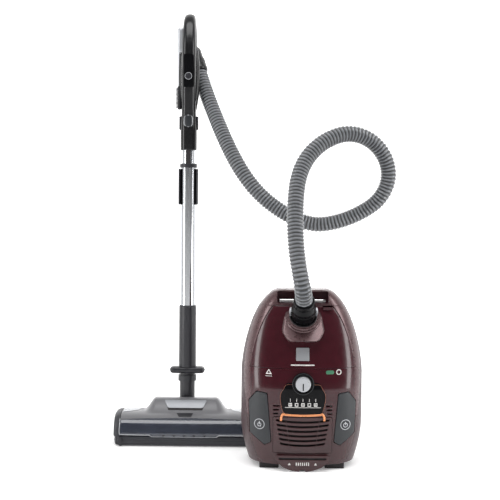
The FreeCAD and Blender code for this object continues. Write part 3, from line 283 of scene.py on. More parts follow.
def make_finishes():
    """Every finish, named for the real material and how it was made."""
    c = colours()
    grey = linear("8a8d91")
    table = {
        # The tail and the grille run to a lighter mauve 3a1d20 low down: a painted reflection of the floor. The lid
        # keeps one tone.
        "gloss_abs_burgundy": lambda n: painted_shell(n, tuple(c.burgundy), linear("3a1d20"), 0.225, 0.095),
        "gloss_abs_lid": lambda n: painted_shell(n, tuple(c.burgundy), tuple(c.burgundy), 0.9, 0.1),
        "moulded_abs_underside": lambda n: moulded(n, linear("3f2d30"), 0.42),
        # The grille's lower tone is the same painted floor reflection.
        "moulded_abs_grille": lambda n: painted_shell(n, linear("3f1f22"), linear("3a1d20"), 0.15, 0.06),
        "flake_lacquer_mauve": lambda n: flake_paint(n, tuple(c.mauve), 0.28),
        "gloss_abs_black": lambda n: moulded(n, tuple(c.black), 0.13, 2.5, 0.01, 0.0,
                                               values={"Specular IOR Level": 0.12}),
        "moulded_abs_pedal": lambda n: moulded(n, tuple(c.pedal), 0.36, 0.7, 0.05),
        "moulded_abs_dark": lambda n: moulded(n, linear("222227"), 0.34, 0.8, 0.03),
        "moulded_abs_recess": lambda n: moulded(n, linear("35121a"), 0.5, 0.8, 0.03,
                                                values={"Specular IOR Level": 0.2}),
        "gloss_abs_charcoal": lambda n: moulded(n, linear("131315"), 0.22, 1.5, 0.01, 0.1,
                                                values={"Specular IOR Level": 0.4}),
        "satin_abs_silver": lambda n: flake_paint(n, linear("b0b2b6"), 0.32),
        "satin_abs_plate": lambda n: flake_paint(n, linear("8b8d91"), 0.34),
        "printed_white_ink": lambda n: moulded(n, linear("d9d7d4"), 0.45, 0.6, 0.01),
        "printed_green_ink": lambda n: moulded(n, linear("3f7a5c"), 0.45, 0.6, 0.01),
        "anodised_copper_edge": lambda n: flake_paint(n, tuple(c.copper), 0.30),
        "anodised_copper_line": lambda n: flake_paint(n, linear("8a5743"), 0.34),
        "polished_steel_tube": lambda n: polished_tube(n, linear("c4c6c9"), 0.16, 0.02),
        "turned_steel": lambda n: polished_tube(n, linear("9a9da1"), 0.3, 1.0),
        "moulded_rubber_black": lambda n: moulded(n, linear("1c1719"), 0.6, 0.6, 0.06),
        "moulded_rubber_tyre": lambda n: moulded(n, linear("232326"), 0.72, 0.9, 0.1),
        "blown_pvc_hose": lambda n: hose_plastic(n, tuple(c.hose)),
        "smoked_polycarbonate": lambda n: smoked_window(n, linear("474d5c")),
        "satin_abs_cover": lambda n: moulded(n, tuple(c.cover), 0.34, 1.6, 0.01, 0.15, 0.03),
        "moulded_tpe_bumper": lambda n: moulded(n, tuple(c.bumper), 0.45, 0.7, 0.05),
        "pressed_fleece_bag": lambda n: fleece(n, linear("d8cfc0"), 2.0),
        "pleated_fleece_filter": lambda n: fleece(n, linear("1b1415"), 2.0),
        "moulded_pp_motor": lambda n: moulded(n, linear("c8c8c4"), 0.5, 1.0, 0.05),
        "nylon_bristle": lambda n: moulded(n, linear("1d1d21"), 0.5, 1.5, 0.05),
        "cast_pp_grey": lambda n: moulded(n, grey, 0.45, 0.9, 0.05),
    }
    for name, build in table.items():
        FINISH[name] = build(name)


# Which finish each CAD node that stays in view takes.
NODE_FINISH = {
    "polished_steel_tube": ["inner_tube", "outer_tube"],
    "moulded_abs_dark": ["lower_sleeve", "tube_slider", "release_bar", "nozzle_neck", "hose_swivel",
                         "bulkhead", "cord_outlet", "caster_socket", "handle_body", "nozzle_base", "release_button",
                         "wheel_left", "wheel_right"],
    "gloss_abs_black": ["handle_panel", "hose_cuff", "knob_ring", "control_panel"],
    "satin_abs_silver": ["cuff_button_left", "cuff_button_right", "suction_dial", "nozzle_pedal", "power_button"],
    "moulded_rubber_black": ["tail_feet", "brush_belt"],
    "moulded_rubber_tyre": ["tyre_left", "tyre_right", "roller_left", "roller_right", "caster_wheel"],
    "turned_steel": ["wheel_axles", "shell_screws", "motor_rotor"],
    "cast_pp_grey": ["caster_fork", "cord_reel", "motor_pulley", "brush_slider"],
    "moulded_pp_motor": ["motor_housing", "brush_motor"],
    "pressed_fleece_bag": ["dust_bag"],
    "pleated_fleece_filter": ["exhaust_filter"],
    "nylon_bristle": ["dusting_brush", "brush_roll"],
    "flake_lacquer_mauve": ["inlet_surround", "inlet_collar", "side_trim"],
    "gloss_abs_lid": ["dust_lid", "carry_handle", "lid_latch"],
    "gloss_abs_burgundy": ["tail_cover", "tail_tab", "exhaust_door"],
    "moulded_abs_underside": ["lower_shell"],
    "moulded_abs_pedal": ["rewind_pedal", "power_pedal"],
    "smoked_polycarbonate": ["nozzle_window"],
    "satin_abs_cover": ["nozzle_cover"],
    "moulded_tpe_bumper": ["nozzle_bumper"],
    "blown_pvc_hose": ["suction_hose"],
}

# ------------------------------------------------------------------ mesh building


def make_piece(name, shape, finish, body, stands_for=(), wall=0.0, edge=0.0, weld=False, sharp=38.0):
    """Puts points (mm, row frame) and faces into a mesh, finishes its edges, and lets it ride on a body."""
    points, faces = shape
    mesh = bpy.data.meshes.new(name)
    mesh.from_pydata((np.asarray(points).reshape(-1, 3) * 0.001).tolist(), [], faces)
    if weld:
        work = bmesh.new()
        work.from_mesh(mesh)
        bmesh.ops.remove_doubles(work, verts=work.verts, dist=1e-6)
        bmesh.ops.recalc_face_normals(work, faces=work.faces)
        work.to_mesh(mesh)
        work.free()
    mesh.shade_smooth()
    mesh.set_sharp_from_angle(angle=math.radians(sharp))
    mesh.materials.append(FINISH[finish])
    piece = bpy.data.objects.new(name, mesh)
    bpy.context.scene.collection.objects.link(piece)
    if wall:
        thick = piece.modifiers.new("wall", "SOLIDIFY")
        thick.thickness, thick.offset = wall * 0.001, -1.0
    if edge:
        round_off = piece.modifiers.new("edge", "BEVEL")
        round_off.width, round_off.segments = edge * 0.001, 2
        round_off.limit_method, round_off.angle_limit = "ANGLE", math.radians(50)
    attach(piece, body)
    if stands_for:
        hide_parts(*stands_for)
    return piece


def joined(*shapes):
    """Several shapes as one set of points and faces."""
    points, faces, start = [], [], 0
    for some_points, some_faces in shapes:
        some_points = np.asarray(some_points).reshape(-1, 3)
        points.append(some_points)
        faces += [[i + start for i in face] for face in some_faces]
        start += len(some_points)
    return np.concatenate(points), faces


def grid_faces(rows, columns, wrap=False):
    """Cells of a grid of points; wrap joins the last column to the first."""
    index = np.arange(rows * columns).reshape(rows, columns)
    if wrap:
        index = np.concatenate([index, index[:, :1]], 1)
    return np.stack([index[:-1, :-1], index[:-1, 1:], index[1:, 1:], index[1:, :-1]], -1).reshape(-1, 4).tolist()


def inside(a, b, outline):
    """Distance to a closed outline, positive inside it."""
    far = np.full(np.shape(a), 1e9)
    sign = np.full(np.shape(a), -1.0)
    for (p, q), (r, s) in zip(outline, outline[1:] + outline[:1]):
        e, f = r - p, s - q
        along = np.clip(((a - p) * e + (b - q) * f) / (e * e + f * f), 0, 1)
        far = np.minimum(far, np.hypot(a - p - along * e, b - q - along * f))
        cross = ((q > b) != (s > b)) & (a < p + (b - q) * e / (f if abs(f) > 1e-9 else 1e-9))
        sign = np.where(cross, -sign, sign)
    return far * sign


def box2(a, b, a0, a1, b0, b1, soft=0.0):
    """Distance to a box with rounded corners, positive inside it."""
    u = np.abs(a - (a0 + a1) / 2) - (a1 - a0) / 2 + soft
    v = np.abs(b - (b0 + b1) / 2) - (b1 - b0) / 2 + soft
    return soft - np.hypot(np.maximum(u, 0), np.maximum(v, 0)) - np.minimum(np.maximum(u, v), 0)


def trimmed(surface, u_span, v_span, step, keep):
    """A sheet on surface(u, v) that ends where keep(points) is zero.

    Grid points beside the cut slide over the sheet until keep is zero there. Cells outside are dropped, and a cell
    with one corner outside keeps its other three."""
    u, v = np.meshgrid(np.linspace(*u_span, max(3, round((u_span[1] - u_span[0]) / step) + 1)),
                       np.linspace(*v_span, max(3, round((v_span[1] - v_span[0]) / step) + 1)))
    near, small = None, 0.02
    for _ in range(4):
        here = keep(surface(u, v))
        du = (keep(surface(u + small, v)) - here) / small
        dv = (keep(surface(u, v + small)) - here) / small
        slope = np.maximum(du ** 2 + dv ** 2, 1e-4)
        if near is None:
            near = np.abs(here) < 0.5 * step * np.sqrt(slope)
        u = np.clip(u - np.where(near, np.clip(here * du / slope, -0.5 * step, 0.5 * step), 0), *u_span)
        v = np.clip(v - np.where(near, np.clip(here * dv / slope, -0.5 * step, 0.5 * step), 0), *v_span)
    points = surface(u, v).reshape(-1, 3)
    out = ((keep(points) < 0) & ~near.ravel())
    index = np.arange(u.size).reshape(u.shape)
    cell = np.stack([index[:-1, :-1], index[:-1, 1:], index[1:, 1:], index[1:, :-1]], -1).reshape(-1, 4)
    gone = out[cell]
    whole = cell[gone.sum(1) == 0]
    whole = whole[keep(points[whole].mean(1)) > 0]
    part = cell[gone.sum(1) == 1]
    first = out[part].argmax(1)[:, None]
    three = np.take_along_axis(part, (first + [1, 2, 3]) % 4, 1)
    three = three[keep(points[three].mean(1)) > 0]
    used = np.unique(np.concatenate([whole.ravel(), three.ravel()]))
    number = np.zeros(len(points), int)
    number[used] = np.arange(len(used))
    return points[used], number[whole].tolist() + number[three].tolist()


def basis(axis):
    """Two directions square to an axis."""
    axis = np.asarray(axis, float) / np.linalg.norm(axis)
    helper = np.array([1.0, 0, 0]) if abs(axis[0]) < 0.9 else np.array([0, 1.0, 0])
    side = np.cross(helper, axis)
    side /= np.linalg.norm(side)
    return axis, side, np.cross(axis, side)


def turned(profile, centre, axis, around=72, ripple=None):
    """A profile of (radius, height) turned about an axis: centre + height*axis + radius*(cos*side + sin*up)."""
    axis, side, up = basis(axis)
    profile = np.asarray(profile, float)
    angle = np.linspace(0, 2 * math.pi, around, endpoint=False)
    radius = np.repeat(profile[:, :1], around, 1)
    if ripple is not None:
        radius = radius + ripple(angle[None, :], profile[:, :1], profile[:, 1:2])
    ring = np.cos(angle)[None, :, None] * side + np.sin(angle)[None, :, None] * up
    points = np.asarray(centre, float) + profile[:, 1, None, None] * axis + radius[:, :, None] * ring
    return points.reshape(-1, 3), grid_faces(len(profile), around, True)


def rounded(corners, radius=1.0, steps=4):
    """A profile whose corners are rounded: each is a quarter curve between points beside it."""
    p = np.asarray(corners, float)
    before, here, after = p[:-2], p[1:-1], p[2:]
    a, b = before - here, after - here
    la, lb = np.linalg.norm(a, axis=1, keepdims=True), np.linalg.norm(b, axis=1, keepdims=True)
    back = np.minimum(radius, 0.45 * np.minimum(la, lb))
    p0, p2 = here + a / la * back, here + b / lb * back
    t = np.linspace(0, 1, steps + 1)[None, :, None]
    curve = (1 - t) ** 2 * p0[:, None] + 2 * t * (1 - t) * here[:, None] + t ** 2 * p2[:, None]
    return np.concatenate([p[:1], curve.reshape(-1, 2), p[-1:]])


def smooth_line(points, count, closed=False):
    """A Catmull-Rom line through points, with evenly numbered steps."""
    p = np.asarray(points, float)
    p = np.concatenate([p[-1:], p, p[:2]]) if closed else np.concatenate([2 * p[:1] - p[1:2], p,
                                                                          2 * p[-1:] - p[-2:-1]])
    t = np.linspace(0, len(p) - 3, count, endpoint=not closed)
    i = np.minimum(t.astype(int), len(p) - 4)
    t = (t - i)[:, None]
    a, b, c, d = p[i], p[i + 1], p[i + 2], p[i + 3]
    return 0.5 * (2 * b + (c - a) * t + (2 * a - 5 * b + 4 * c - d) * t ** 2 + (3 * b - a - 3 * c + d) * t ** 3)


def swept(path, across, upward, helper, around=24, power=2.0, closed=False, caps=True):
    """A squarish oval section carried along a path, its side square to the tangent and to a helper direction.

    point = path + side*across*cos^(2/power) + up*upward*sin^(2/power)."""
    path = np.asarray(path, float)
    if closed:
        tangent = np.roll(path, -1, 0) - np.roll(path, 1, 0)
    else:
        tangent = np.gradient(path, axis=0)
    tangent /= np.linalg.norm(tangent, axis=1, keepdims=True)
    side = np.cross(tangent, np.asarray(helper, float))
    side /= np.linalg.norm(side, axis=1, keepdims=True)
    up = np.cross(side, tangent)
    across, upward = np.broadcast_to(across, len(path)), np.broadcast_to(upward, len(path))
    if caps and not closed:
        shrink = np.array([0.0, 0.6, 0.88, 1.0])
        reach = np.array([1.0, 0.8, 0.45, 0.0])
        size = np.minimum(across, upward)
        head = path[0] - tangent[0] * (reach * size[0] * 0.5)[:, None]
        tail = path[-1] + tangent[-1] * (reach[::-1] * size[-1] * 0.5)[:, None]
        path = np.concatenate([head[:-1], path, tail[1:]])
        side = np.concatenate([np.repeat(side[:1], 3, 0), side, np.repeat(side[-1:], 3, 0)])
        up = np.concatenate([np.repeat(up[:1], 3, 0), up, np.repeat(up[-1:], 3, 0)])
        across = np.concatenate([across[0] * shrink[:-1], across, across[-1] * shrink[::-1][1:]])
        upward = np.concatenate([upward[0] * shrink[:-1], upward, upward[-1] * shrink[::-1][1:]])
    angle = np.linspace(0, 2 * math.pi, around, endpoint=False)
    c, s = np.cos(angle), np.sin(angle)
    c, s = np.sign(c) * np.abs(c) ** (2 / power), np.sign(s) * np.abs(s) ** (2 / power)
    points = (path[:, None] + side[:, None] * (across[:, None] * c)[:, :, None]
              + up[:, None] * (upward[:, None] * s)[:, :, None])
    faces = grid_faces(len(path), around, True)
    if closed:
        last, n = (len(path) - 1) * around, around
        faces += [[last + i, last + (i + 1) % n, (i + 1) % n, i] for i in range(n)]
    return points.reshape(-1, 3), faces

# ------------------------------------------------------------------ canister shells

FRONT_SQUARE, BACK_SQUARE = 2.6, 3.4        # 2 is an ellipse, more is squarer
PEDAL = [(-132, 168), (-113, 192), (-88, 189), (-77.5, 71), (-92.5, 62), (-129, 89)]
SHIELD = [(-41, 217), (41, 217), (55, 187), (53, 163), (46, 137), (-46, 137), (-53, 163), (-55, 187)]
SURROUND = [(-43, 388), (43, 388), (54, 339), (38, 315), (-38, 315), (-54, 339)]
INLET = np.array([0.0, -71.0, 370.0])
ALONG = np.array([0.0, -0.766044, 0.642788])  # out of the inlet
KNOB = np.array([0.0, 0.0, 215.0])


def half_width(z):
    """Half width at a height: full in the middle, closing to the nose and a little to the tail."""
    nose = 152 * (1 - np.clip((z - 235) / 215, 0, 0.999) ** 1.5) ** 0.323
    tail = 152 * (1 - 0.16 * (np.clip(110 - z, 0, 110) / 110) ** 1.68)
    return np.minimum(nose, tail)


def front_depth(z):
    """Axis to the front face: leans back above 200, tucks in under 30."""
    return 119 - 74 * (np.clip(z - 200, 0, 238) / 238) ** 1.3 - 15 * (np.clip(30 - z, 0, 30) / 30) ** 2


def back_depth(z):
    """Axis to the underside: draws in above 250, tucks in under 30."""
    return 95 - 53 * (np.clip(z - 250, 0, 188) / 188) ** 1.5 - 10 * (np.clip(30 - z, 0, 30) / 30) ** 2


def oval(angle, width, front, back):
    """Squarish oval: x = width*cos^(2/n), y = depth*sin^(2/n), with one n for the front and one for the back."""
    c, s = np.cos(angle), np.sin(angle)
    power = np.where(s > 0, 2 / BACK_SQUARE, 2 / FRONT_SQUARE)
    depth = np.where(s > 0, back, front)
    return width * np.sign(c) * np.abs(c) ** power, depth * np.sign(s) * np.abs(s) ** power


RING_ANGLE = np.linspace(0, 2 * math.pi, 6001)
_x, _y = oval(RING_ANGLE, 152.0, 119.0, 95.0)
RING_LENGTH = np.concatenate([[0], np.cumsum(np.hypot(np.diff(_x), np.diff(_y)))])
AROUND = RING_LENGTH[-1]
BEHIND = RING_LENGTH[3000]                   # length of the back half, from +x round to -x


def crown(z):
    """How far the nose draws in above its own edge: a quarter round of 6 mm under the top."""
    return 6 - np.sqrt(np.clip(36 - np.clip(z - 432, 0, 6) ** 2, 0, 36))


def on_body(proud=0.0):
    """Surface of the canister: along runs round the ring in mm of its widest section, z is the height."""
    def surface(along, z):
        angle = np.interp(np.mod(along, AROUND), RING_LENGTH, RING_ANGLE)
        out = proud - crown(z)
        x, y = oval(angle, half_width(z) + out, front_depth(z) + out, back_depth(z) + out)
        return np.stack([x, y, z + 0 * x], -1)
    return surface


def front_face(proud=0.0):
    """The same surface worked out over its front view: y = -depth*(1 - (x/width)^n)^(1/n)."""
    def surface(x, z):
        out = proud - crown(z)
        share = np.clip(np.abs(x) / (half_width(z) + out), 0, 0.9995)
        y = -(front_depth(z) + out) * (1 - share ** FRONT_SQUARE) ** (1 / FRONT_SQUARE)
        return np.stack([x, y, z + 0 * x], -1)
    return surface


def in_can(shape):
    return shape[0] + CAN, shape[1]


def in_wand(shape):
    return shape[0] + WAND, shape[1]


def pedal_gap(p, grow):
    """Distance outside both pedals' outlines."""
    return -(inside(-np.abs(p[..., 0]), p[..., 2], PEDAL) + grow)


TAIL_SIDE = [(-600, -60), (-100.3, -60), (-68.1, 130), (-88, 130), (-71, 250.4), (-600, 250.4)]
BAND_SIDE = [(-67.6, 130.2), (-16.2, 400.4), (-49.8, 400.4), (-87.6, 130.2)]
LID_SIDE = [(-600, 250.7), (-71.7, 250.7), (-50.7, 399.3), (-600, 399.3)]
BELLY_SIDE = [(-99.6, -60), (600, -60), (600, 400.0), (-15.8, 400.0), (-67.3, 130)]


def side_view(p, outline):
    return inside(p[..., 1], p[..., 2], outline)


def grille_stub(p):
    """Short slots beside the control panel, three each side."""
    x, z = np.abs(p[..., 0]), p[..., 2]
    rows = [box2(x, z + 0.03 * (x - 62), 59 - 1.5 * i, 73, 139 + 9.5 * i, 142.6 + 9.5 * i, 1.6) for i in range(3)]
    return np.maximum.reduce(rows)


def door_slots(x, z):
    """The exhaust door's slots: they hang lower in the middle, as a smile does."""
    rows = []
    for i in range(6):
        half = 66 - 2.2 * i
        centre = 125 - 11.5 * i - 5 * (1 - (x / half) ** 2)
        rows.append(box2(x, z - centre, -half, half, -2.5, 2.5, 2.2))
    return np.maximum.reduce(rows)


def tail_keep(p):
    x, z, front = p[..., 0], p[..., 2], p[..., 1] < -40
    cuts = [side_view(p, TAIL_SIDE), pedal_gap(p, 1.4),
            np.where(front, -box2(x, z, -72.8, 72.8, 43.2, 133.8, 4), 99.0),
            np.where(front, -inside(x, z, SHIELD) + 3, 99.0),
            np.where(front, -grille_stub(p), 99.0)]
    return np.minimum.reduce(cuts)


def band_keep(p):
    return np.minimum(side_view(p, BAND_SIDE), pedal_gap(p, 1.4))


def lid_keep(p):
    x, z, front = p[..., 0], p[..., 2], p[..., 1] < -20
    hole = np.where(front, -inside(x, z, SURROUND) + 4, 99.0)
    latch = np.where(front, -box2(x, z, 49.5, 74.5, 390.2, 410, 1), 99.0)
    return np.minimum.reduce([side_view(p, LID_SIDE), hole, latch])


def wheel_arch(p):
    """Room round a main wheel: inside a circle in the side view, outboard of the wheel's inner face."""
    round_arch = 52.0 - np.hypot(p[..., 1] - 62, p[..., 2] - 85)
    return np.minimum(round_arch, np.abs(p[..., 0]) - 110)


def belly_keep(p):
    caster = np.where(p[..., 1] > 20, np.hypot(p[..., 0], p[..., 2] - 340) - 18, 99.0)
    screws = np.where(p[..., 1] > 20, np.minimum.reduce([np.hypot(p[..., 0] - x, p[..., 2] - z)
                                                       for x in (-70, 70) for z in (40, 205)]) - 3.6, 99.0)
    return np.minimum.reduce([side_view(p, BELLY_SIDE), -wheel_arch(p), caster, screws])


def handle_mouth(p):
    """The carry handle's finger opening, wide and low in front, taller behind."""
    x, z = p[..., 0], p[..., 2]
    return np.where(p[..., 1] < 0, box2(x, z, -64, 64, 405, 434.5, 5), box2(x, z, -58, 58, 403, 428, 5))


def cap(z, proud, steps=14, up=True):
    """A flat end over a ring of the canister, drawn in to its middle line."""
    angle = np.linspace(0, 2 * math.pi, 160, endpoint=False)
    share = np.linspace(1, 0, steps)[:, None]
    x, y = oval(angle, half_width(z) + proud, front_depth(z) + proud, back_depth(z) + proud)
    lift = (0.8 if up else -0.2) * (1 - share ** 2)
    points = np.stack([x * share, y * share, z + lift + 0 * x], -1)
    faces = grid_faces(steps, 160, True)
    return points.reshape(-1, 3), faces if up else [face[::-1] for face in faces]


def mouth_ring(y_line, x_half, z_low, z_high, soft, count=96):
    """A rounded slot outline, evenly stepped, at one depth or on a given face."""
    angle = np.linspace(0, 2 * math.pi, count, endpoint=False)
    c, s = np.cos(angle), np.sin(angle)
    middle_z, half_z = (z_low + z_high) / 2, (z_high - z_low) / 2
    x = (x_half - soft) * np.clip(c * 3, -1, 1) + soft * c
    z = middle_z + (half_z - soft) * np.clip(s * 3, -1, 1) + soft * s
    y = y_line(x, z) if callable(y_line) else np.full(count, float(y_line))
    return np.stack([x, y, z], -1)


class VACUUM_OT_shells(bpy.types.Operator):
    """Lid, tail, side bands, underside and carry handle, moulded sheets cut from one squarish oval body"""
    bl_idname = "vacuum.shells"
    bl_label = "Canister Shells"

    def execute(self, context):
        s = sizes()
        step, wall, edge = s.shell_step * 1000, s.wall * 1000, s.edge * 1000
        skin = on_body()
        lid = trimmed(skin, (BEHIND, AROUND), (250.8, 399.2), step, lid_keep)
        make_piece("lid_shell", in_can(lid), "gloss_abs_lid", "lid", ("dust_lid",), wall, edge)
        tail = trimmed(skin, (BEHIND, AROUND), (14.0, 250.0), step * 0.8, tail_keep)
        make_piece("tail_shell", in_can(tail), "gloss_abs_burgundy", "chassis", ("tail_cover",),
                   wall, edge)
        side = AROUND * 0.17
        bands = joined(trimmed(skin, (AROUND - side, AROUND + side), (130.1, 400.0), step, band_keep),
                       trimmed(skin, (BEHIND - side, BEHIND + side), (130.1, 400.0), step, band_keep))
        make_piece("side_bands", in_can(bands), "flake_lacquer_mauve", "chassis", ("side_trim",),
                   wall, edge)
        belly = trimmed(skin, (-side, BEHIND + side), (14.0, 400.0), step * 1.1, belly_keep)
        make_piece("belly_shell", in_can(belly), "moulded_abs_underside", "chassis",
                   ("lower_shell",), wall, edge)
        make_piece("tail_floor", in_can(cap(14.2, -0.4, up=False)), "moulded_abs_underside", "chassis")
        for side_of in (-1, 1):
            arch = turned([(52, 26), (52, 1.5), (50.5, 0), (12, 0), (12, 0.2)], (110 * side_of, 62, 85),
                          (side_of, 0, 0), 64)
            make_piece("wheel_arch_" + ("left" if side_of < 0 else "right"), in_can(trim_to_body(arch)),
                       "moulded_abs_underside", "chassis")
        handle = trimmed(on_body(), (0, AROUND), (400.4, 437.9), 1.8,
                         lambda p: -handle_mouth(p))
        handle = joined(handle, cap(437.95, -5.7))
        make_piece("carry_grip", in_can(handle), "flake_lacquer_mauve", "chassis", ("carry_handle",))
        front = front_face(-0.3)
        rings = [mouth_ring(lambda x, z: front(x, z)[..., 1], 64, 405, 434.5, 5),
                 mouth_ring(-24, 64, 405, 434.5, 5), mouth_ring(-23, 58, 405.3, 412.6, 3),
                 mouth_ring(0, 58, 404.5, 414, 3), mouth_ring(12, 58, 403.2, 428, 5),
                 mouth_ring(lambda x, z: back_depth(z) * (1 - np.clip(np.abs(x) / half_width(z), 0, 1)
                                                         ** BACK_SQUARE) ** (1 / BACK_SQUARE) - 0.3,
                            58, 403, 428, 5)]
        tunnel = np.stack(rings)
        faces = [face[::-1] for face in grid_faces(len(rings), tunnel.shape[1], True)]
        make_piece("carry_mouth", in_can((tunnel.reshape(-1, 3), faces)), "moulded_abs_recess", "chassis",
                   sharp=30)
        return {"FINISHED"}


def trim_to_body(shape):
    """Draws a wheel arch's rim in to the canister's own skin."""
    points, faces = shape
    points = np.array(points)
    share = np.clip(np.abs(points[:, 1]) / back_depth(points[:, 2]), 0, 0.999)
    reach = half_width(points[:, 2]) * (1 - share ** BACK_SQUARE) ** (1 / BACK_SQUARE) - 1.0
    over = np.abs(points[:, 0]) > np.maximum(reach, 110)
    points[over, 0] = (np.sign(points[:, 0]) * np.maximum(reach, 110))[over]
    return points, faces


# ------------------------------------------------------------------ controls on the tail


def body_plate(name, keep, x_span, z_span, proud, wall, edge, finish, body, stands_for=(), step=None):
    """A plate that follows the front of the canister and ends where keep(x, z) is zero in the front view."""
    step = step or sizes().plate_step * 1000
    shape = trimmed(front_face(proud), x_span, z_span, step, lambda p: keep(p[..., 0], p[..., 2]))
    return make_piece(name, in_can(shape), finish, body, stands_for, wall, edge)


def bead(name, line, thickness, proud, finish, body, closed=True, steps=200, wide=1.0):
    """A thin raised bead laid along a line of (x, z) on the front of the canister."""
    path = smooth_line(line, steps, closed)
    points = front_face(proud)(path[:, 0], path[:, 1])
    shape = swept(points, thickness * wide / 2, thickness / 2, (0, 1, 0), 10, closed=closed)
    return make_piece(name, in_can(shape), finish, body, weld=True)


def soften(outline, radius):
    """A closed outline with rounded corners, as a list."""
    p = np.asarray(outline, float)
    ring = rounded(np.concatenate([p, p[:2]]), radius, 5)[1:-1]
    return [tuple(point) for point in ring]


def arc_band(x, z, x0, z0, radius, thick, start=-180.0, end=180.0):
    """Distance to a ring or part of one, positive in its band; angles from +x, in degrees."""
    turn = np.degrees(np.arctan2(z - z0, x - x0))
    band = thick / 2 - np.abs(np.hypot(x - x0, z - z0) - radius)
    return np.where((turn >= start) & (turn <= end), band, -1.0)


class VACUUM_OT_controls(bpy.types.Operator):
    """Pedals, exhaust door, control panel, dial, tail tab and plain marks on the front of the canister"""
    bl_idname = "vacuum.controls"
    bl_label = "Tail Controls"

    def execute(self, context):
        pedal = soften(PEDAL, 5)
        for name, side, body in (("rewind_pedal", -1, "rewind"), ("power_pedal", 1, "power")):
            body_plate(name + "_plate", lambda x, z: inside(x * -side, z, pedal), sorted((side * 75, side * 134)),
                       (60, 194), 1.6, 6.0, 1.3, "moulded_abs_pedal", body, (name,), 1.6)
            cx, cz = side * 106, 112

            def symbol(x, z, cx=cx, cz=cz, side=side):
                ring = arc_band(x, z, cx, cz, 12.0, 1.5)
                stroke = box2(x, z, cx - 0.9, cx + 0.9, cz - 1, cz + 7, 0.6)
                loop = arc_band(x, z, cx, cz - 1, 5.0, 1.5, -180, 180) if side > 0 else \
                    np.maximum(box2(x, z, cx - 4, cx + 4, cz - 6, cz - 4.2, 0.6), arc_band(x, z, cx, cz - 1, 4, 1.3))
                return np.maximum.reduce([ring, stroke, loop])
            body_plate(name + "_symbol", symbol, (cx - 14, cx + 14), (cz - 14, cz + 14), 2.0, 0.7, 0.0,
                       "satin_abs_silver", body, (), 0.55)

        def door(x, z):
            return np.minimum(box2(x, z, -72, 72, 44, 132.2, 3), -door_slots(x, z))
        body_plate("exhaust_grille", door, (-72, 72), (44, 132.2), 0.0, 3.0, 0.5, "moulded_abs_grille", "door",
                   ("exhaust_door",), 1.1)
        for side in (-1, 1):
            line = [(side * 41, 132), (side * 38, 105), (side * 34.5, 80), (side * 33, 58)]
            bead("grille_rib_" + ("left" if side < 0 else "right"), line, 1.5, 0.3, "moulded_abs_grille", "door",
                 False, 40)
        shield = soften(SHIELD, 7)
        ring_hole = lambda x, z: np.hypot(x, z - 215) - 26.5
        body_plate("panel_face", lambda x, z: np.minimum(inside(x, z, shield), ring_hole(x, z)), (-56, 56),
                   (136, 219), 2.4, 4.0, 0.8, "gloss_abs_black", "chassis", ("control_panel",))
        bead("panel_edge", [(-26, 213), (-41, 212), (-47, 203), (-55, 187), (-53.5, 163), (-46.5, 140), (-42, 136.2),
                            (0, 135.2), (42, 136.2), (46.5, 140), (53.5, 163), (55, 187), (47, 203), (41, 212),
                            (26, 213)], 0.9, 2.2, "anodised_copper_line", "chassis", False, 260)
        foot = [(-53, 124), (-52, 134), (-47, 140.5), (-40, 138.5), (0, 137), (40, 138.5), (47, 140.5), (52, 134),
                (53, 124)]
        bead("panel_foot_band", foot, 4.2, 1.4, "anodised_copper_edge", "chassis", False, 160, 1.3)

        def icons(x, z):
            """Five plain setting marks, each with a short line above, and one line under them."""
            parts = []
            for i in range(5):
                cx = -31 + 15.5 * i
                frame_of = 4.2 - np.maximum(np.abs(x - cx), np.abs(z - 164))
                hollow = 2.4 - np.maximum(np.abs(x - cx), np.abs(z - 164))
                parts.append(np.minimum(frame_of, -hollow) if i % 2 else np.maximum(
                    np.minimum(frame_of, -hollow), box2(x, z, cx - 0.8, cx + 0.8, 161, 167, 0.3)))
                parts.append(box2(x, z, cx - 0.6, cx + 0.6, 171, 179, 0.4))
            parts.append(box2(x, z, -44, 44, 156.4, 157.6, 0.4))
            return np.maximum.reduce(parts)
        body_plate("panel_marks", icons, (-45, 45), (155, 181), 2.7, 0.5, 0.0, "printed_white_ink", "chassis",
                   (), 0.6)
        axis = np.array([0.0, -1.0, 0.0])
        base = KNOB
        ring = turned(rounded([(19.4, 113), (27, 113), (27, 122.5), (24.6, 125.5), (20.4, 125.2), (19.4, 123.5),
                               (19.4, 113)], 1.2), base, axis, 96)
        make_piece("knob_bezel", in_can(ring), "gloss_abs_black", "chassis", ("knob_ring",), weld=True)
        trim = turned(rounded([(24.9, 124.2), (26.2, 124.0), (26.6, 125.2), (25.2, 125.9), (24.9, 124.2)], 0.4), base,
                      axis, 96)
        make_piece("knob_bezel_trim", in_can(trim), "moulded_abs_pedal", "chassis", weld=True)
        dial = turned(rounded([(0, 114), (18.6, 114), (18.9, 128.5), (17.2, 131.4), (14.5, 131.7), (0, 131.2)], 1.0),
                      base, axis, 144, lambda a, r, h: np.where((r > 18) & (h < 130), 0.22 * np.cos(48 * a), 0))
        make_piece("dial_cap", in_can(dial), "satin_abs_silver", "dial", ("suction_dial",), weld=True)
        hand = swept([(0, -131.3, 215 - 15), (0, -131.5, 215 - 8), (0, -131.5, 215 + 2)], 1.5, 0.5, (0, -1, 0), 12, 4)
        make_piece("dial_pointer", in_can(hand), "gloss_abs_black", "dial", weld=True)

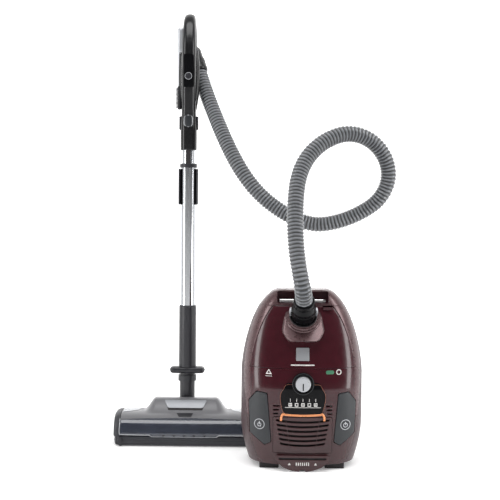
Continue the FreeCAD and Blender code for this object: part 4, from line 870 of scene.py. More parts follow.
        def tab_face(x, z):
            bulge = 1.6 * (1 - (x / 72) ** 2) + 1.2 * np.sin(np.clip(z / 41, 0, 1) * math.pi)
            return np.stack([x, -126.2 - bulge, z + 0 * x], -1)
        tab_line = soften([(-69, 40.5), (-65, 27), (-48, 11), (-27, 3), (-9, 0.2), (9, 0.2), (27, 3), (48, 11),
                           (65, 27), (69, 40.5)], 6)
        slot_cut = lambda x, z: -box2(x, z, -58, 58, 29.5, 34.5, 1.5)
        notch = lambda x, z: np.hypot(x, z + 1.5) - 7.5
        tab = trimmed(tab_face, (-70, 70), (0.2, 40.5), 1.1, lambda p: np.minimum.reduce(
            [inside(p[..., 0], p[..., 2], tab_line), slot_cut(p[..., 0], p[..., 2]), notch(p[..., 0], p[..., 2])]))
        make_piece("tail_tab_face", in_can(tab), "gloss_abs_burgundy", "tab", ("tail_tab",), 3.0, 1.0)
        back = trimmed(lambda x, z: tab_face(x, z) + [0, 3.2, 0], (-68, 68), (0.6, 40), 2.0,
                       lambda p: inside(p[..., 0], p[..., 2], tab_line) - 1.5)
        make_piece("tail_tab_back", in_can(back), "moulded_rubber_black", "tab", (), 1.0, 0.3)

        def tab_marks(x, z):
            """A row of short bars between two arrowheads."""
            bars = [box2(x, z, cx - 1.1, cx + 1.1, 15.5, 23.5, 0.6) for cx in (-15, -10, -5, 0, 5, 10, 15)]
            tips = [np.minimum(z - 17, (22.5 - z) * 0.6 - np.abs(x - cx)) for cx in (-32, 32)]
            return np.maximum.reduce(bars + tips)
        marks = trimmed(lambda x, z: tab_face(x, z) + [0, -0.4, 0], (-38, 38), (14, 25), 0.6,
                        lambda p: tab_marks(p[..., 0], p[..., 2]))
        make_piece("tail_tab_marks", in_can(marks), "printed_white_ink", "tab", (), 0.5)
        # Blank badge and plain marks on the lid and tail, where a maker's printing would be.
        body_plate("lid_badge", lambda x, z: box2(x, z, -17, 15, 269.5, 300.5, 2.0), (-18, 16), (268, 302), 0.9, 1.2,
                   0.4, "satin_abs_silver", "lid")
        body_plate("lid_bar_mark", lambda x, z: box2(x, z, -30, 28, 257.6, 260.6, 1.0), (-31, 29), (256, 262), 0.35,
                   0.5, 0.0, "printed_white_ink", "lid", (), 0.6)

        def tail_marks(x, z):
            drop = np.minimum(z - 236, (248.5 - z) * 0.6 - np.abs(x + 84))
            hole = np.minimum(z - 238.6, (245.5 - z) * 0.55 - np.abs(x + 84))
            return np.maximum.reduce([np.minimum(drop, -hole), box2(x, z, -92, -76, 231, 232.2, 0.4),
                                      arc_band(x, z, 88, 242, 5.5, 2.2)])
        body_plate("tail_marks", tail_marks, (-94, 98), (230, 249.5), 0.35, 0.5, 0.0, "printed_white_ink", "chassis",
                   (), 0.6)
        body_plate("tail_green_mark", lambda x, z: box2(x, z, 56, 76, 237.5, 246.5, 4.2), (54, 78), (236, 248), 0.35,
                   0.5, 0.0, "printed_green_ink", "chassis", (), 0.6)
        return {"FINISHED"}


class VACUUM_OT_inlet(bpy.types.Operator):
    """Inlet surround on the lid, its collar, and the hose cuff with its two squeeze buttons"""
    bl_idname = "vacuum.inlet"
    bl_label = "Inlet and Cuff"

    def execute(self, context):
        outline = soften(SURROUND, 9)

        def hump(x, z):
            """A raised plate whose face looks along the cuff, rounded down to the lid at its outline."""
            skin = front_face(0.9)(x, z)
            plane = 71.0 + (370.0 - z) * ALONG[2] / -ALONG[1]
            lift = np.clip(plane + 1.0 + skin[..., 1], 0, None)
            rise = np.clip(inside(x, z, outline) / 5.0, 0, 1)
            skin[..., 1] -= lift * np.sqrt(1 - (1 - rise) ** 2)
            return skin
        centre = INLET + ALONG * 1.0
        bore = lambda p: np.linalg.norm(np.cross(p - centre, ALONG), axis=-1) - 31.0
        plate = trimmed(hump, (-54, 54), (315, 388), 1.2, lambda p: np.minimum(
            inside(p[..., 0], p[..., 2], outline), bore(p)))
        make_piece("inlet_plate", in_can(plate), "flake_lacquer_mauve", "lid", ("inlet_surround",))
        collar = turned(rounded([(30.6, 0.5), (44, 0.5), (44, 2.2), (41.5, 5.0), (39.0, 3.0), (36.5, 7.0), (35.5, 12.4),
                                 (33, 13), (30.6, 12.4), (30.6, 0.5)], 1.0), INLET, ALONG, 96)
        make_piece("collar_ring", in_can(collar), "flake_lacquer_mauve", "lid", ("inlet_collar",),
                   weld=True)
        seat = turned(rounded([(30.7, 12.0), (35.2, 12.6), (34.6, 13.6), (31.2, 13.4), (30.7, 12.0)], 0.4),
                      INLET, ALONG, 96)
        make_piece("collar_seal", in_can(seat), "moulded_rubber_black", "lid", weld=True)
        cuff = turned(rounded([(17.2, 1.2), (30, 1.2), (30, 38), (29, 39), (29, 40.4), (30, 41.4), (29.6, 50),
                               (26.8, 64), (25.8, 76.5), (24.2, 78.4), (21.8, 78.4), (21.6, 63.6), (17.2, 63.6),
                               (17.2, 1.2)], 1.2), INLET, ALONG, 96)
        make_piece("cuff_shell", in_can(cuff), "gloss_abs_black", "cuff", ("hose_cuff",), weld=True)
        for name, way in (("cuff_button_left", -1), ("cuff_button_right", 1)):
            start = INLET + np.array([way * 31.2, 0, 0]) + ALONG * 20.5
            path = smooth_line([start, start + ALONG * 9.5 + [way * 1.6, 0, 0], start + ALONG * 19], 16)
            button = swept(path, 6.5, 2.9, (1, 0, 0), 28, 3.0)
            make_piece(name + "_pad", in_can(button), "satin_abs_silver",
                       "cuff_button_l" if way < 0 else "cuff_button_r", (name,), weld=True)
        return {"FINISHED"}


# ------------------------------------------------------------------ hose


def hose_line(steps):
    """The hose's own smooth line and evenly spaced points on it, in metres."""
    curve = bpy.data.curves.new("hose_line", "CURVE")
    curve.dimensions = "3D"
    spline = curve.splines.new("NURBS")
    spline.points.add(len(HOSE) - 1)
    spline.points.foreach_set("co", np.c_[np.array(HOSE), np.ones(len(HOSE))].ravel())
    spline.order_u = 3
    spline.use_endpoint_u = True
    spline.resolution_u = 40
    holder = bpy.data.objects.new("hose_line", curve)
    bpy.context.scene.collection.objects.link(holder)
    bpy.context.view_layer.update()
    mesh = bpy.data.meshes.new_from_object(holder)
    points = np.empty(len(mesh.vertices) * 3)
    mesh.vertices.foreach_get("co", points)
    points = points.reshape(-1, 3)
    bpy.data.objects.remove(holder)
    bpy.data.meshes.remove(mesh)
    reach = np.concatenate([[0], np.cumsum(np.linalg.norm(np.diff(points, axis=0), axis=1))])
    even = np.linspace(0, reach[-1], steps)
    return np.stack([np.interp(even, reach, points[:, i]) for i in range(3)], 1), reach[-1]


class VACUUM_OT_hose(bpy.types.Operator):
    """Ribbed suction hose, a corrugated tube along one smooth line from the lid to the handle"""
    bl_idname = "vacuum.hose"
    bl_label = "Suction Hose"

    def execute(self, context):
        s = sizes()
        _, whole = hose_line(10)
        ribs, around, per_rib = int(whole / s.rib_pitch), 40, 10
        line, whole = hose_line(ribs * per_rib + 1)
        smooth = np.copy(line)
        for _ in range(3):
            smooth[1:-1] = (smooth[:-2] + 2 * smooth[1:-1] + smooth[2:]) / 4
        tangent = np.gradient(smooth, axis=0)
        tangent /= np.linalg.norm(tangent, axis=1, keepdims=True)
        side = np.cross(tangent, (0.0, 1.0, 0.0))
        side /= np.linalg.norm(side, axis=1, keepdims=True)
        up = np.cross(side, tangent)
        phase = (np.arange(len(line)) % per_rib) / per_rib
        groove = np.abs(np.cos(np.pi * phase)) ** 1.5          # 1 in the groove, 0 on the rib
        radius = s.hose_diameter / 2 - s.rib_depth * groove
        angle = np.linspace(0, 2 * math.pi, around, endpoint=False)
        points = smooth[:, None] + radius[:, None, None] * (np.cos(angle)[None, :, None] * side[:, None]
                                                            + np.sin(angle)[None, :, None] * up[:, None])
        mesh = bpy.data.meshes.new("hose")
        faces = grid_faces(len(line), around, True)
        mesh.from_pydata(points.reshape(-1, 3).tolist(), [], faces)
        depth = mesh.attributes.new("groove", "FLOAT", "POINT")
        depth.data.foreach_set("value", np.repeat(groove, around).astype(np.float32))
        mesh.shade_smooth()
        mesh.materials.append(FINISH["blown_pvc_hose"])
        hose = bpy.data.objects.new("ribbed_hose", mesh)
        bpy.context.scene.collection.objects.link(hose)
        work = bmesh.new()
        work.from_mesh(mesh)
        bmesh.ops.holes_fill(work, edges=work.edges, sides=around)
        bmesh.ops.recalc_face_normals(work, faces=work.faces)
        work.to_mesh(mesh)
        work.free()
        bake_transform(hose)
        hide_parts("suction_hose")
        return {"FINISHED"}


# ------------------------------------------------------------------ wand, floor head and handle


def plain_box(centre, size, power=5.0, along=(0, 0, 1), rows=5):
    """A soft-cornered bar: a squarish section swept along one direction with drawn-in ends."""
    centre, size = np.asarray(centre, float), np.asarray(size, float)
    axis = int(np.argmax(np.abs(along)))
    half = np.zeros(3)
    half[axis] = size[axis] / 2
    path = centre + np.linspace(-1, 1, rows)[:, None] * half
    helper = np.zeros(3)
    helper[(axis + 1) % 3] = 1.0
    tangent = np.zeros(3)
    tangent[axis] = 1.0
    side = np.abs(np.cross(tangent, helper))
    across, upward = float(side @ size) / 2, float(np.abs(helper) @ size) / 2
    return swept(path, across, upward, helper, 32, power)


class VACUUM_OT_wand(bpy.types.Operator):
    """Grips on the tube slider, the cable strip, the ring at the tube's mouth and the release bar; the black lower
    sleeve keeps its own shape
    """
    bl_idname = "vacuum.wand"
    bl_label = "Telescopic Wand"

    def execute(self, context):
        strip = swept([(0, -19.2, 752), (0, -19.2, 780), (0, -19.2, 806)], 6.6, 2.2, (0, 1, 0), 20, 4)
        make_piece("cable_strip", in_wand(strip), "moulded_rubber_black", "chassis", weld=True)
        ring = turned(rounded([(21.1, 744), (23.4, 744), (23.8, 747), (23.4, 754), (21.6, 755.5), (18.4, 755.5),
                               (18.4, 744)], 1.0), (0, 0, 0), (0, 0, 1), 72)
        make_piece("tube_mouth_ring", in_wand(ring), "moulded_abs_dark", "wand", weld=True)
        for side in (-1, 1):
            grip = plain_box((side * 24.2, -4.0, 692), (5.4, 22, 96), 4.0)
            make_piece("slider_grip_" + ("left" if side < 0 else "right"), in_wand(grip), "moulded_abs_dark", "slider",
                       weld=True)
        low, high = np.array(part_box("release_bar")) * 1000
        middle_of, half = (low + high) / 2 - [0, 0, 0.5], (high - low) / 2 + [0, 0, 0.7]
        t = np.linspace(-1, 1, 41)
        draw = np.sqrt(np.clip(1 - np.abs(t) ** 12, 0.01, 1))
        path = middle_of + np.stack([t * (half[0] - 1), 0 * t, 0 * t], 1)
        bar = swept(path, half[1] * 0.97 * draw, half[2] * 0.97 * draw, (0, 0, 1), 36, 3.2)
        make_piece("release_bar_grip", bar, "moulded_abs_dark", "release", ("release_bar",), weld=True)
        return {"FINISHED"}


def blend_step(value, start, end):
    """0 before start, 1 after end, with a smooth run between."""
    t = np.clip((value - start) / (end - start), 0, 1)
    return t * t * (3 - 2 * t)


HEAD_LINE = np.array([(-135.5, 24.5), (-136.2, 30), (-134.8, 41), (-130, 54), (-122, 65.5), (-111, 74), (-98, 79.5),
                      (-80, 82.5), (-60, 83), (-36, 82.5), (-18, 80.5), (-12.6, 75), (-12, 62), (-12, 25.5)])
HEAD_SMOOTH = smooth_line(HEAD_LINE, 400)
HEAD_REACH = np.concatenate([[0], np.cumsum(np.hypot(*np.diff(HEAD_SMOOTH, axis=0).T))])
SPLIT = float(np.interp(-114.0, HEAD_SMOOTH[:200, 0], HEAD_REACH[:200]))


def head_skin(proud=0.0):
    """The floor head's cover: x runs across, v along a side profile that bows over the brush.

    A hump rises between x -112 and 112; the ends draw in."""
    def surface(x, v):
        y = np.interp(v, HEAD_REACH, HEAD_SMOOTH[:, 0])
        z = np.interp(v, HEAD_REACH, HEAD_SMOOTH[:, 1])
        ahead = np.interp(v + 0.5, HEAD_REACH, HEAD_SMOOTH[:, 0]) - np.interp(v - 0.5, HEAD_REACH, HEAD_SMOOTH[:, 0])
        climb = np.interp(v + 0.5, HEAD_REACH, HEAD_SMOOTH[:, 1]) - np.interp(v - 0.5, HEAD_REACH, HEAD_SMOOTH[:, 1])
        size = np.hypot(ahead, climb) + 1e-9
        lift = 1 - blend_step(np.abs(x), 82, 114)
        rise = 32.0 * blend_step(y, -98, -48) * np.clip((z - 25) / 45, 0, 1)
        bow = 3.0 * (x / 190) ** 2 * blend_step(y, -40, -139)
        draw = 1 - 0.05 * blend_step(np.abs(x), 166, 184)
        z = 25 + (z - 25) * draw + lift * rise
        return np.stack([x + 0 * y, y + bow - proud * climb / size, z + proud * ahead / size], -1)
    return surface


def window_line(x):
    """Profile length at which the window ends and the cover begins."""
    return SPLIT + 4.0 * (1 - (x / 175) ** 2) - 3.0


class VACUUM_OT_floor_head(bpy.types.Operator):
    """Floor head: soft bumper, smoked window over the brush, humped cover, silver wings and foot plate"""
    bl_idname = "vacuum.floor_head"
    bl_label = "Powered Floor Head"

    def execute(self, context):
        end, edge = HEAD_REACH[-1], sizes().edge * 1000
        skin = head_skin()
        neck_gap = lambda p: -box2(p[..., 0], p[..., 1], -31, 31, -26, 40, 6)

        def cover_keep(p):
            """Behind the window's edge, inboard of the end caps, clear of the neck."""
            ahead = p[..., 1] - np.interp(window_line(p[..., 0]), HEAD_REACH, HEAD_SMOOTH[:, 0])
            return np.minimum.reduce([np.where(p[..., 2] > 50, ahead, 20.0), 172 - np.abs(p[..., 0]), neck_gap(p)])
        cover = trimmed(skin, (-173, 173), (float(SPLIT) - 8, end), 2.2, cover_keep)
        make_piece("head_cover", in_wand(cover), "satin_abs_cover", "head", ("nozzle_cover",), 2.2, edge)

        def window_keep(p):
            ahead = np.interp(window_line(p[..., 0]), HEAD_REACH, HEAD_SMOOTH[:, 0]) - 0.6 - p[..., 1]
            step_down = 30.5 - 5.0 * (1 - blend_step(np.abs(p[..., 0]), 78, 92))
            return np.minimum.reduce([ahead, 172 - np.abs(p[..., 0]), p[..., 2] - step_down])
        window = trimmed(skin, (-173, 173), (0.0, float(SPLIT) + 4), 1.8, window_keep)
        make_piece("head_window", in_wand(window), "smoked_polycarbonate", "head", ("nozzle_window",),
                   2.0, 0.5)
        # The silver line that frames the window, with its step down in the middle.
        frame_x = np.array([-173, -173, -173, -172, -168, -140, -96, -92, -86, -82, -40, 0, 40, 82, 86, 92, 96, 140,
                            168, 172, 173, 173, 173], float)
        frame_z = np.array([70, 50, 38, 31.5, 30.2, 30, 30, 29.4, 26, 25.2, 25, 25, 25, 25.2, 26, 29.4, 30, 30, 30.2,
                            31.5, 38, 50, 70], float)
        v = np.interp(frame_z, HEAD_SMOOTH[:170, 1], HEAD_REACH[:170])
        line = head_skin(0.5)(frame_x, v)
        path = smooth_line(line, 300)
        trim = swept(path, 1.1, 0.9, (0, 1, 0.001), 10, caps=True)
        make_piece("head_trim_line", in_wand(trim), "satin_abs_silver", "head", weld=True)
        # End caps and the bumper under the window.
        for side in (-1, 1):
            def end_cap(t, v, side=side):
                """Past 173 the profile draws in on a quarter round and closes at 190."""
                x = 173.2 + 16.3 * np.sin(np.clip(t, 0, 1) * math.pi / 2)
                pull = np.where(t <= 1, 0.13 * (1 - np.cos(np.clip(t, 0, 1) * math.pi / 2)),
                                0.13 + 0.87 * (t - 1))
                p = skin(0 * t + 173.0, v)
                centre = np.array([0.0, -66.0, 38.0])
                p = centre + (p - centre) * (1 - pull)[..., None]
                p[..., 0] = side * (x + 0.4 * np.clip(t - 1, 0, 1))
                return p
            t, v = np.meshgrid(np.concatenate([np.linspace(0, 1, 9), np.linspace(1.08, 2, 8)]),
                               np.linspace(0, end, 120))
            points = end_cap(t, v)
            faces = grid_faces(120, t.shape[1])
            make_piece("head_end_" + ("left" if side < 0 else "right"), in_wand((points.reshape(-1, 3), faces)),
                       "moulded_tpe_bumper", "head", weld=True)
        plan = [(-189.6, -20), (-189.6, -90), (-189, -111), (-183, -128), (-172, -136.5), (-158, -138.4), (0, -138.8),
                (158, -138.4), (172, -136.5), (183, -128), (189, -111), (189.6, -90), (189.6, -20)]
        way = smooth_line(plan, 240)
        tangent = np.gradient(way, axis=0)
        tangent /= np.linalg.norm(tangent, axis=1, keepdims=True)
        inward = np.stack([-tangent[:, 1], tangent[:, 0]], 1)
        section = rounded([(7.0, 26.5), (1.6, 25.4), (0.3, 20.5), (1.3, 17.6), (0.0, 15.0), (0.4, 9.6), (1.4, 8.4),
                           (0.3, 6.4), (1.6, 2.4), (8.0, 2.4), (8.0, 26.0)], 0.9, 3)
        ring = np.concatenate([way[:, None] + inward[:, None] * section[None, :, :1],
                               np.broadcast_to(section[None, :, 1:], (len(way), len(section), 1))], 2)
        shape = (ring.reshape(-1, 3), grid_faces(len(way), len(section)))
        make_piece("bumper_strip", in_wand(shape), "moulded_tpe_bumper", "head", ("nozzle_bumper",),
                   weld=True)
        # Silver wings with four vents each, and the foot plate on the hump.
        for side in (-1, 1):
            def wing_keep(p, side=side):
                x, y = p[..., 0] * side, p[..., 1]
                body = inside(x, y, [(119, -16), (168, -16), (168, -84), (150, -78), (128, -60)])
                dots = np.minimum.reduce([np.hypot(x - 163 + 8.2 * i, y + 64 - 4.0 * i) for i in range(4)]) - 2.2
                return np.minimum(body, dots)
            wing = trimmed(head_skin(0.9), (-170 if side < 0 else 118, -118 if side < 0 else 170),
                           (float(SPLIT), end - 40), 1.3, wing_keep)
            make_piece("head_wing_" + ("left" if side < 0 else "right"), in_wand(wing), "satin_abs_silver", "head",
                       (), 1.1, 0.4)
        hump_end = float(np.interp(-46.0, HEAD_SMOOTH[:300, 0], HEAD_REACH[:300]))
        plate_line = soften([(-47, 94), (47, 94), (58, 112), (-58, 112)], 4)
        plate = trimmed(head_skin(2.6), (-59, 59), (float(SPLIT), hump_end), 1.1,
                        lambda p: inside(p[..., 0], p[..., 2], plate_line))
        make_piece("foot_plate", in_wand(plate), "satin_abs_plate", "head_pedal", ("nozzle_pedal",),
                   2.2, 0.7)
        # A black sheet under the foot plate's front edge, reaching below it: a painted shadow, not a part.
        painted_shadow_sheet = trimmed(head_skin(0.7), (-52, 52), (float(SPLIT), hump_end), 1.1,
                      lambda p: inside(p[..., 0], p[..., 2], [(-46, 88.5), (46, 88.5), (50, 97), (-50, 97)]))
        make_piece("foot_plate_shadow", in_wand(painted_shadow_sheet), "moulded_rubber_black", "head", (), 0.6)
        marker = trimmed(head_skin(0.5), (-24, 24), (float(SPLIT) - 10, end - 40), 1.2, lambda p: inside(
            p[..., 0], p[..., 1], [(-23, -93), (22, -93), (17, -110), (-16, -110)]))
        make_piece("cover_window_mark", in_wand(marker), "moulded_abs_dark", "head", (), 0.8, 0.2)

        def arrows(p):
            x = p[..., 0]
            tips = [np.minimum(30.5 - p[..., 2], (p[..., 2] - 26.5) * 1.1 - np.abs(x - cx) + 0.6)
                    for cx in (-55, -27, 0, 27, 55)]
            return np.maximum.reduce(tips)
        tips = trimmed(head_skin(0.4), (-60, 60), (2.0, 8.0), 0.7, arrows)
        make_piece("window_arrows", in_wand(tips), "moulded_rubber_black", "head", (), 0.4)
        # Rows of bristles wind round the brush in a spiral.
        turn = np.linspace(-150, 150, 220)
        rows = []
        for row in range(4):
            for way_of in (-1, 1):
                x = turn[turn * way_of > 0]
                angle = np.abs(x) * 0.022 + row * math.pi / 2
                inner = np.stack([x, -86 + 15.5 * np.cos(angle), 27 + 15.5 * np.sin(angle)], 1)
                outer = np.stack([x, -86 + 22.6 * np.cos(angle), 27 + 22.6 * np.sin(angle)], 1)
                lean = np.stack([0 * x, -np.sin(angle), np.cos(angle)], 1) * 1.6
                sheet_of = np.stack([inner - lean, outer - lean * 0.6, outer + lean * 0.6, inner + lean], 0)
                rows.append((sheet_of.reshape(-1, 3), grid_faces(4, len(x))))
        make_piece("brush_bristles", in_wand(joined(*rows)), "nylon_bristle", "brush")
        return {"FINISHED"}


def lofted(sections, around=48, power=2.6, caps=True):
    """Level sections (x, y, z centre, half width, half depth) joined by one smooth skin with closed ends."""
    s = np.asarray(sections, float)
    s = smooth_line(s, (len(s) - 1) * 8 + 1)
    angle = np.linspace(0, 2 * math.pi, around, endpoint=False)
    c, n = np.cos(angle), np.sin(angle)
    c, n = np.sign(c) * np.abs(c) ** (2 / power), np.sign(n) * np.abs(n) ** (2 / power)
    points = np.stack([s[:, :1] + s[:, 3:4] * c, s[:, 1:2] + s[:, 4:5] * n, s[:, 2:3] + 0 * c], -1)
    faces = grid_faces(len(s), around, True)
    if caps:
        count = len(s) * around
        points = np.concatenate([points.reshape(-1, 3), s[:1, :3], s[-1:, :3]])
        last = (len(s) - 1) * around
        faces += [[count, (i + 1) % around, i] for i in range(around)]
        faces += [[count + 1, last + i, last + (i + 1) % around] for i in range(around)]
    return points.reshape(-1, 3), faces


class VACUUM_OT_handle(bpy.types.Operator):
    """Bowed grip with its socket, gloss panel, power key, release key and the small dusting brush"""
    bl_idname = "vacuum.handle"
    bl_label = "Wand Handle"

    def execute(self, context):
        top = TOP_OF_HANDLE
        bow = [(0, -2, 880), (0, -4, 920), (0, -6, 960), (0, -7, 1000), (0, -7, 1040), (0, -5, 1076), (0, 2, top - 54),
               (0, 16, top - 26), (0, 38, top - 14), (0, 62, top - 19), (0, 78, top - 40), (0, 83, top - 70),
               (0, 78, top - 96), (0, 62, top - 112), (0, 40, top - 122), (0, 18, top - 134)]
        path = smooth_line(bow, 180)
        at = np.linspace(0, 1, 180)
        across = np.interp(at, [0, 0.15, 0.34, 0.5, 0.62, 0.8, 1], [19, 20, 19.5, 15.5, 15.5, 18, 14])
        thick = np.interp(at, [0, 0.15, 0.34, 0.46, 0.6, 0.74, 0.9, 1], [20, 22, 21, 15, 13.2, 14, 14, 10])
        side_fixed = swept_side(path, across, thick)
        socket = lofted([(0, 0, 792, 22.0, 22.0), (0, 0, 800, 22.4, 22.4), (0, 0, 850, 22.4, 22.4),
                         (0, -1, 880, 20.5, 21.8), (0, -3, 905, 19.6, 21.8)])
        flank = lofted([(0, 8, 893, 19, 13), (0, 9, 915, 23, 15), (0, 10, 950, 27.5, 16), (0, 11, 990, 29, 16),
                        (0, 12, 1030, 28, 15), (0, 14, 1065, 24, 13), (0, 16, 1095, 16, 9)], power=3.0)
        make_piece("handle_shell", in_wand(joined(side_fixed, socket, flank)), "gloss_abs_charcoal", "chassis",
                   ("handle_body",), weld=True)
        end = (np.array(HOSE[-1]) * 1000)
        into = np.array(HOSE[-1]) - np.array(HOSE[-2])
        into /= np.linalg.norm(into)
        collar = turned(rounded([(17.5, 0.4), (22.6, 0.4), (24.8, 6), (24.8, 22), (23.8, 23.2), (23.8, 25),
                                 (24.8, 26.2), (24.8, 39.4), (17.5, 39.4), (17.5, 0.4)], 1.0), end, into, 72)
        make_piece("swivel_collar", (collar[0], collar[1]), "gloss_abs_charcoal", "swivel",
                   ("hose_swivel",), weld=True)
        elbow_start, elbow_end = end + into * 40.5, end + into * 71
        elbow = swept(smooth_line([elbow_start, (elbow_start + elbow_end) / 2, elbow_end], 12), 22.5, 22.5,
                      (1, 0, 0), 48)
        make_piece("handle_elbow", (elbow[0], elbow[1]), "gloss_abs_charcoal", "chassis", weld=True)

        def panel_face(x, z):
            """The gloss panel wraps the front of the grip."""
            share = np.clip(np.abs(x) / 24.0, 0, 0.98)
            depth = 23.4 - 2.2 * blend_step(z, 1010, 1060)
            return np.stack([x, -7.2 - depth * (1 - share ** 2.5) ** 0.4, z + 0 * x], -1)
        panel_line = soften([(-15, 962), (15, 962), (17, 1006), (13.5, 1052), (-13.5, 1052), (-17, 1006)], 6)
        hole = lambda p: np.hypot(p[..., 0], p[..., 2] - 992) - 10.6
        panel = trimmed(panel_face, (-17, 17), (962, 1052), 1.2, lambda p: np.minimum(
            inside(p[..., 0], p[..., 2], panel_line), hole(p)))
        make_piece("grip_panel", in_wand(panel), "gloss_abs_black", "chassis", ("handle_panel",), 2.4,
                   0.7)
        key = turned(rounded([(0, 20), (10, 20), (10, 30.6), (9.0, 31.8), (7.6, 31.2), (0, 30.6)], 0.7),
                     np.array([0, 0, 992.0]), (0, -1, 0), 64)
        make_piece("power_key", in_wand(key), "moulded_abs_dark", "switch", ("power_button",), weld=True)
        halo = turned(rounded([(8.4, 31.2), (9.7, 30.6), (9.9, 31.4), (9.2, 32.2), (8.4, 31.2)], 0.3),
                      np.array([0, 0, 992.0]), (0, -1, 0), 64)
        make_piece("power_key_ring", in_wand(halo), "satin_abs_silver", "switch", weld=True)
        release = plain_box((0, -20.6, 871), (21, 9.0, 29), 3.0)
        make_piece("release_key", in_wand(release), "moulded_abs_pedal", "hose_release",
                   ("release_button",), weld=True)
        loop = smooth_line([(11.5, 871), (10, 882), (0, 886.5), (-10, 882), (-11.5, 871), (-10, 860), (0, 855.5),
                            (10, 860)], 80, True)
        rim = swept(np.stack([loop[:, 0], -23.6 + 0 * loop[:, 0], loop[:, 1]], 1), 0.9, 0.9, (0, 1, 0), 10, closed=True)
        make_piece("release_key_rim", in_wand(rim), "satin_abs_silver", "chassis", weld=True)
        rails = [plain_box((way_of * 22.4, 2, 866), (7.6, 17, 34), 4.0) for way_of in (-1, 1)]
        make_piece("socket_rails", in_wand(joined(*rails)), "moulded_abs_dark", "chassis", weld=True)
        # The accessory on the grip's left side: a silver thumb slide above a row of bristles.
        thumb = plain_box((-22.0, 10, 1092), (20, 14, 62), 2.4, rows=9)
        rail = plain_box((-28.0, 9, 1014), (5.0, 6, 104), 3.0)
        make_piece("brush_slide_knob", in_wand(joined(thumb, rail)), "satin_abs_silver", "handle_brush",
                   ("brush_slider",), weld=True)
        block = plain_box((-26.6, 8, 935.5), (9.4, 20, 60), 4.0)
        tufts = [turned([(0, 0), (0.9, 0), (0.8, 4.4), (0, 4.6)], (-31.2, y, z), (-1, 0, 0), 8)
                 for y in np.linspace(0, 16, 4) for z in np.linspace(909, 962, 16)]
        make_piece("dusting_bristles", in_wand(joined(block, *tufts)), "nylon_bristle", "handle_brush",
                   ("dusting_brush",), weld=True)
        return {"FINISHED"}


def swept_side(path, across, thick, around=44, power=2.5):
    """The grip's section carried along its side line: x stays level, and depth lies square to the line."""
    tangent = np.gradient(path, axis=0)
    tangent /= np.linalg.norm(tangent, axis=1, keepdims=True)
    side = np.array([1.0, 0, 0])
    up = np.cross(tangent, side)
    shrink, reach = np.array([0.02, 0.5, 0.8, 0.95]), np.array([1.0, 0.85, 0.6, 0.3])
    head = path[0] - tangent[0] * (reach * thick[0] * 0.7)[:, None]
    tail = path[-1] + tangent[-1] * (reach[::-1] * thick[-1] * 0.7)[:, None]
    path = np.concatenate([head, path, tail])
    up = np.concatenate([np.repeat(up[:1], 4, 0), up, np.repeat(up[-1:], 4, 0)])
    across = np.concatenate([across[0] * shrink, across, across[-1] * shrink[::-1]])
    thick = np.concatenate([thick[0] * shrink, thick, thick[-1] * shrink[::-1]])
    angle = np.linspace(0, 2 * math.pi, around, endpoint=False)
    c, s = np.cos(angle), np.sin(angle)
    c, s = np.sign(c) * np.abs(c) ** (2 / power), np.sign(s) * np.abs(s) ** (2 / power)
    points = path[:, None] + side * (across[:, None] * c)[..., None] + up[:, None] * (thick[:, None] * s)[..., None]
    return points.reshape(-1, 3), grid_faces(len(path), around, True)


# ------------------------------------------------------------------ stage and add-on


class VACUUM_OT_node_finishes(bpy.types.Operator):
    """Gives every part that keeps its own shape its finish"""
    bl_idname = "vacuum.node_finishes"
    bl_label = "Part Finishes"

    def execute(self, context):
        for finish, nodes in NODE_FINISH.items():
            for name in nodes:
                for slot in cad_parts[name].material_slots:
                    slot.material = FINISH[finish]
        return {"FINISHED"}


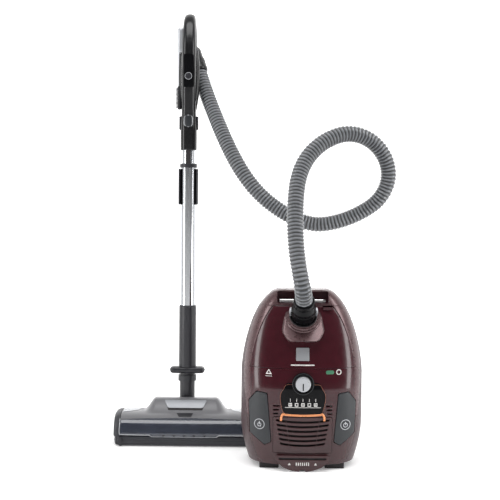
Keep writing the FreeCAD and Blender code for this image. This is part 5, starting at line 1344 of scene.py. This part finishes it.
class VACUUM_OT_stage(bpy.types.Operator):
    """Camera, pale floor that curves up behind, soft side lights and a soft sky"""
    bl_idname = "vacuum.stage"
    bl_label = "Stage"

    def execute(self, context):
        scene = context.scene
        camera_data = bpy.data.cameras.new("camera")
        camera_data.sensor_width, camera_data.lens = 36.0, 82.7
        camera = bpy.data.objects.new("camera", camera_data)
        yaw, pitch, roll = math.radians(-0.42), math.radians(3.18), math.radians(0.5)
        forward = Vector((math.sin(yaw) * math.cos(pitch), math.cos(yaw) * math.cos(pitch), -math.sin(pitch)))
        turn = forward.to_track_quat("-Z", "Y").to_matrix().to_4x4() @ Matrix.Rotation(roll, 4, "Z")
        camera.matrix_world = Matrix.Translation((0.060, -3.016, 0.695)) @ turn
        scene.collection.objects.link(camera)
        scene.camera = camera
        scene.view_settings.view_transform = "Standard"
        v = np.concatenate([np.linspace(-30, 5, 12), 5 + 3 * np.sin(np.linspace(0.1, math.pi / 2, 16))])
        z = np.concatenate([np.zeros(12), 3 - 3 * np.cos(np.linspace(0.1, math.pi / 2, 16))])
        v, z = np.append(v, 8.0), np.append(z, 20.0)
        x = np.linspace(-30, 30, 9)
        points = np.stack([np.broadcast_to(x, (len(v), 9)), np.repeat(v[:, None], 9, 1), np.repeat(z[:, None], 9, 1)],
                          -1).reshape(-1, 3)
        mesh = bpy.data.meshes.new("floor")
        mesh.from_pydata(points.tolist(), [], grid_faces(len(v), 9))
        mesh.shade_smooth()
        material, tree, shader = fresh("painted_studio_floor", {"Roughness": 0.9, "IOR": 1.3,
                                                                 "Emission Color": (1, 1, 1, 1)})
        where = add(tree, "TexCoord").outputs["Object"]
        # The wall and the floor far behind glow, and the near floor hardly does, so that it keeps its soft shadows.
        behind = add(tree, "SeparateXYZ", None, {"Vector": where}).outputs["Y"]
        tree.links.new(span(tree, behind, 0.18, 1.0, 0.6, 2.6), shader.inputs["Emission Strength"])
        tree.links.new(ramp(tree, noise(tree, where, 900.0), (0.93, 0.93, 0.93), (0.96, 0.96, 0.96)),
                       shader.inputs["Base Color"])
        mesh.materials.append(material)
        floor = bpy.data.objects.new("studio_floor", mesh)
        scene.collection.objects.link(floor)
        world = bpy.data.worlds.new("soft_sky")
        world.use_nodes = True
        # The room is dim in front of the object and bright above and behind it.
        sky = world.node_tree
        ahead = add(sky, "SeparateXYZ", None, {"Vector": add(sky, "TexCoord").outputs["Generated"]}).outputs["Y"]
        sky.links.new(span(sky, ahead, 0.16, 1.0, -0.35, 0.35), sky.nodes["Background"].inputs["Strength"])
        sky.nodes["Background"].inputs["Color"].default_value = (1, 1, 1, 1)
        scene.world = world
        lights = [("left_softbox", (-1.9, -0.9, 0.9), (0.5, 2.4), 26),
                  ("right_softbox", (2.1, -0.7, 0.9), (0.5, 2.4), 26),
                  ("top_softbox", (0.1, -0.9, 2.6), (2.4, 1.2), 42)]
        for name, place, size, power in lights:
            data = bpy.data.lights.new(name, "AREA")
            data.shape, data.size, data.size_y, data.energy = "RECTANGLE", size[0], size[1], power
            lamp = bpy.data.objects.new(name, data)
            aim = Vector((0.05, 0.0, 0.45)) - Vector(place)
            lamp.matrix_world = Matrix.Translation(place) @ aim.to_track_quat("-Z", "Y").to_matrix().to_4x4()
            scene.collection.objects.link(lamp)
        return {"FINISHED"}


class VACUUM_PT_panel(bpy.types.Panel):
    """Lists the vacuum cleaner's sizes, colours and pieces"""
    bl_idname = "VACUUM_PT_panel"
    bl_label = "Canister Vacuum"
    bl_space_type = "VIEW_3D"
    bl_region_type = "UI"
    bl_category = "Vacuum"

    def draw(self, context):
        layout = self.layout
        for group in (context.scene.vacuum_sizes, context.scene.vacuum_colours):
            column = layout.column(align=True)
            for key in group.__annotations__:
                column.prop(group, key)
        column = layout.column(align=True)
        for operator in OPERATORS:
            column.operator(operator.bl_idname)


OPERATORS = (VACUUM_OT_stage, VACUUM_OT_hose, VACUUM_OT_node_finishes, VACUUM_OT_shells, VACUUM_OT_controls,
             VACUUM_OT_inlet, VACUUM_OT_wand, VACUUM_OT_floor_head, VACUUM_OT_handle)
CLASSES = (VacuumSizes, VacuumColours) + OPERATORS + (VACUUM_PT_panel,)


def register():
    for item in CLASSES:
        bpy.utils.register_class(item)
    bpy.types.Scene.vacuum_sizes = bpy.props.PointerProperty(type=VacuumSizes)
    bpy.types.Scene.vacuum_colours = bpy.props.PointerProperty(type=VacuumColours)


def unregister():
    del bpy.types.Scene.vacuum_sizes
    del bpy.types.Scene.vacuum_colours
    for item in reversed(CLASSES):
        bpy.utils.unregister_class(item)


def main():
    """Builds every piece in order."""
    register()
    make_finishes()
    bpy.ops.vacuum.stage()
    bpy.ops.vacuum.hose()
    bpy.ops.vacuum.node_finishes()
    bpy.ops.vacuum.shells()
    bpy.ops.vacuum.controls()
    bpy.ops.vacuum.inlet()
    bpy.ops.vacuum.wand()
    bpy.ops.vacuum.floor_head()
    bpy.ops.vacuum.handle()
    bpy.context.view_layer.update()


if __name__ == "__main__":
    main()
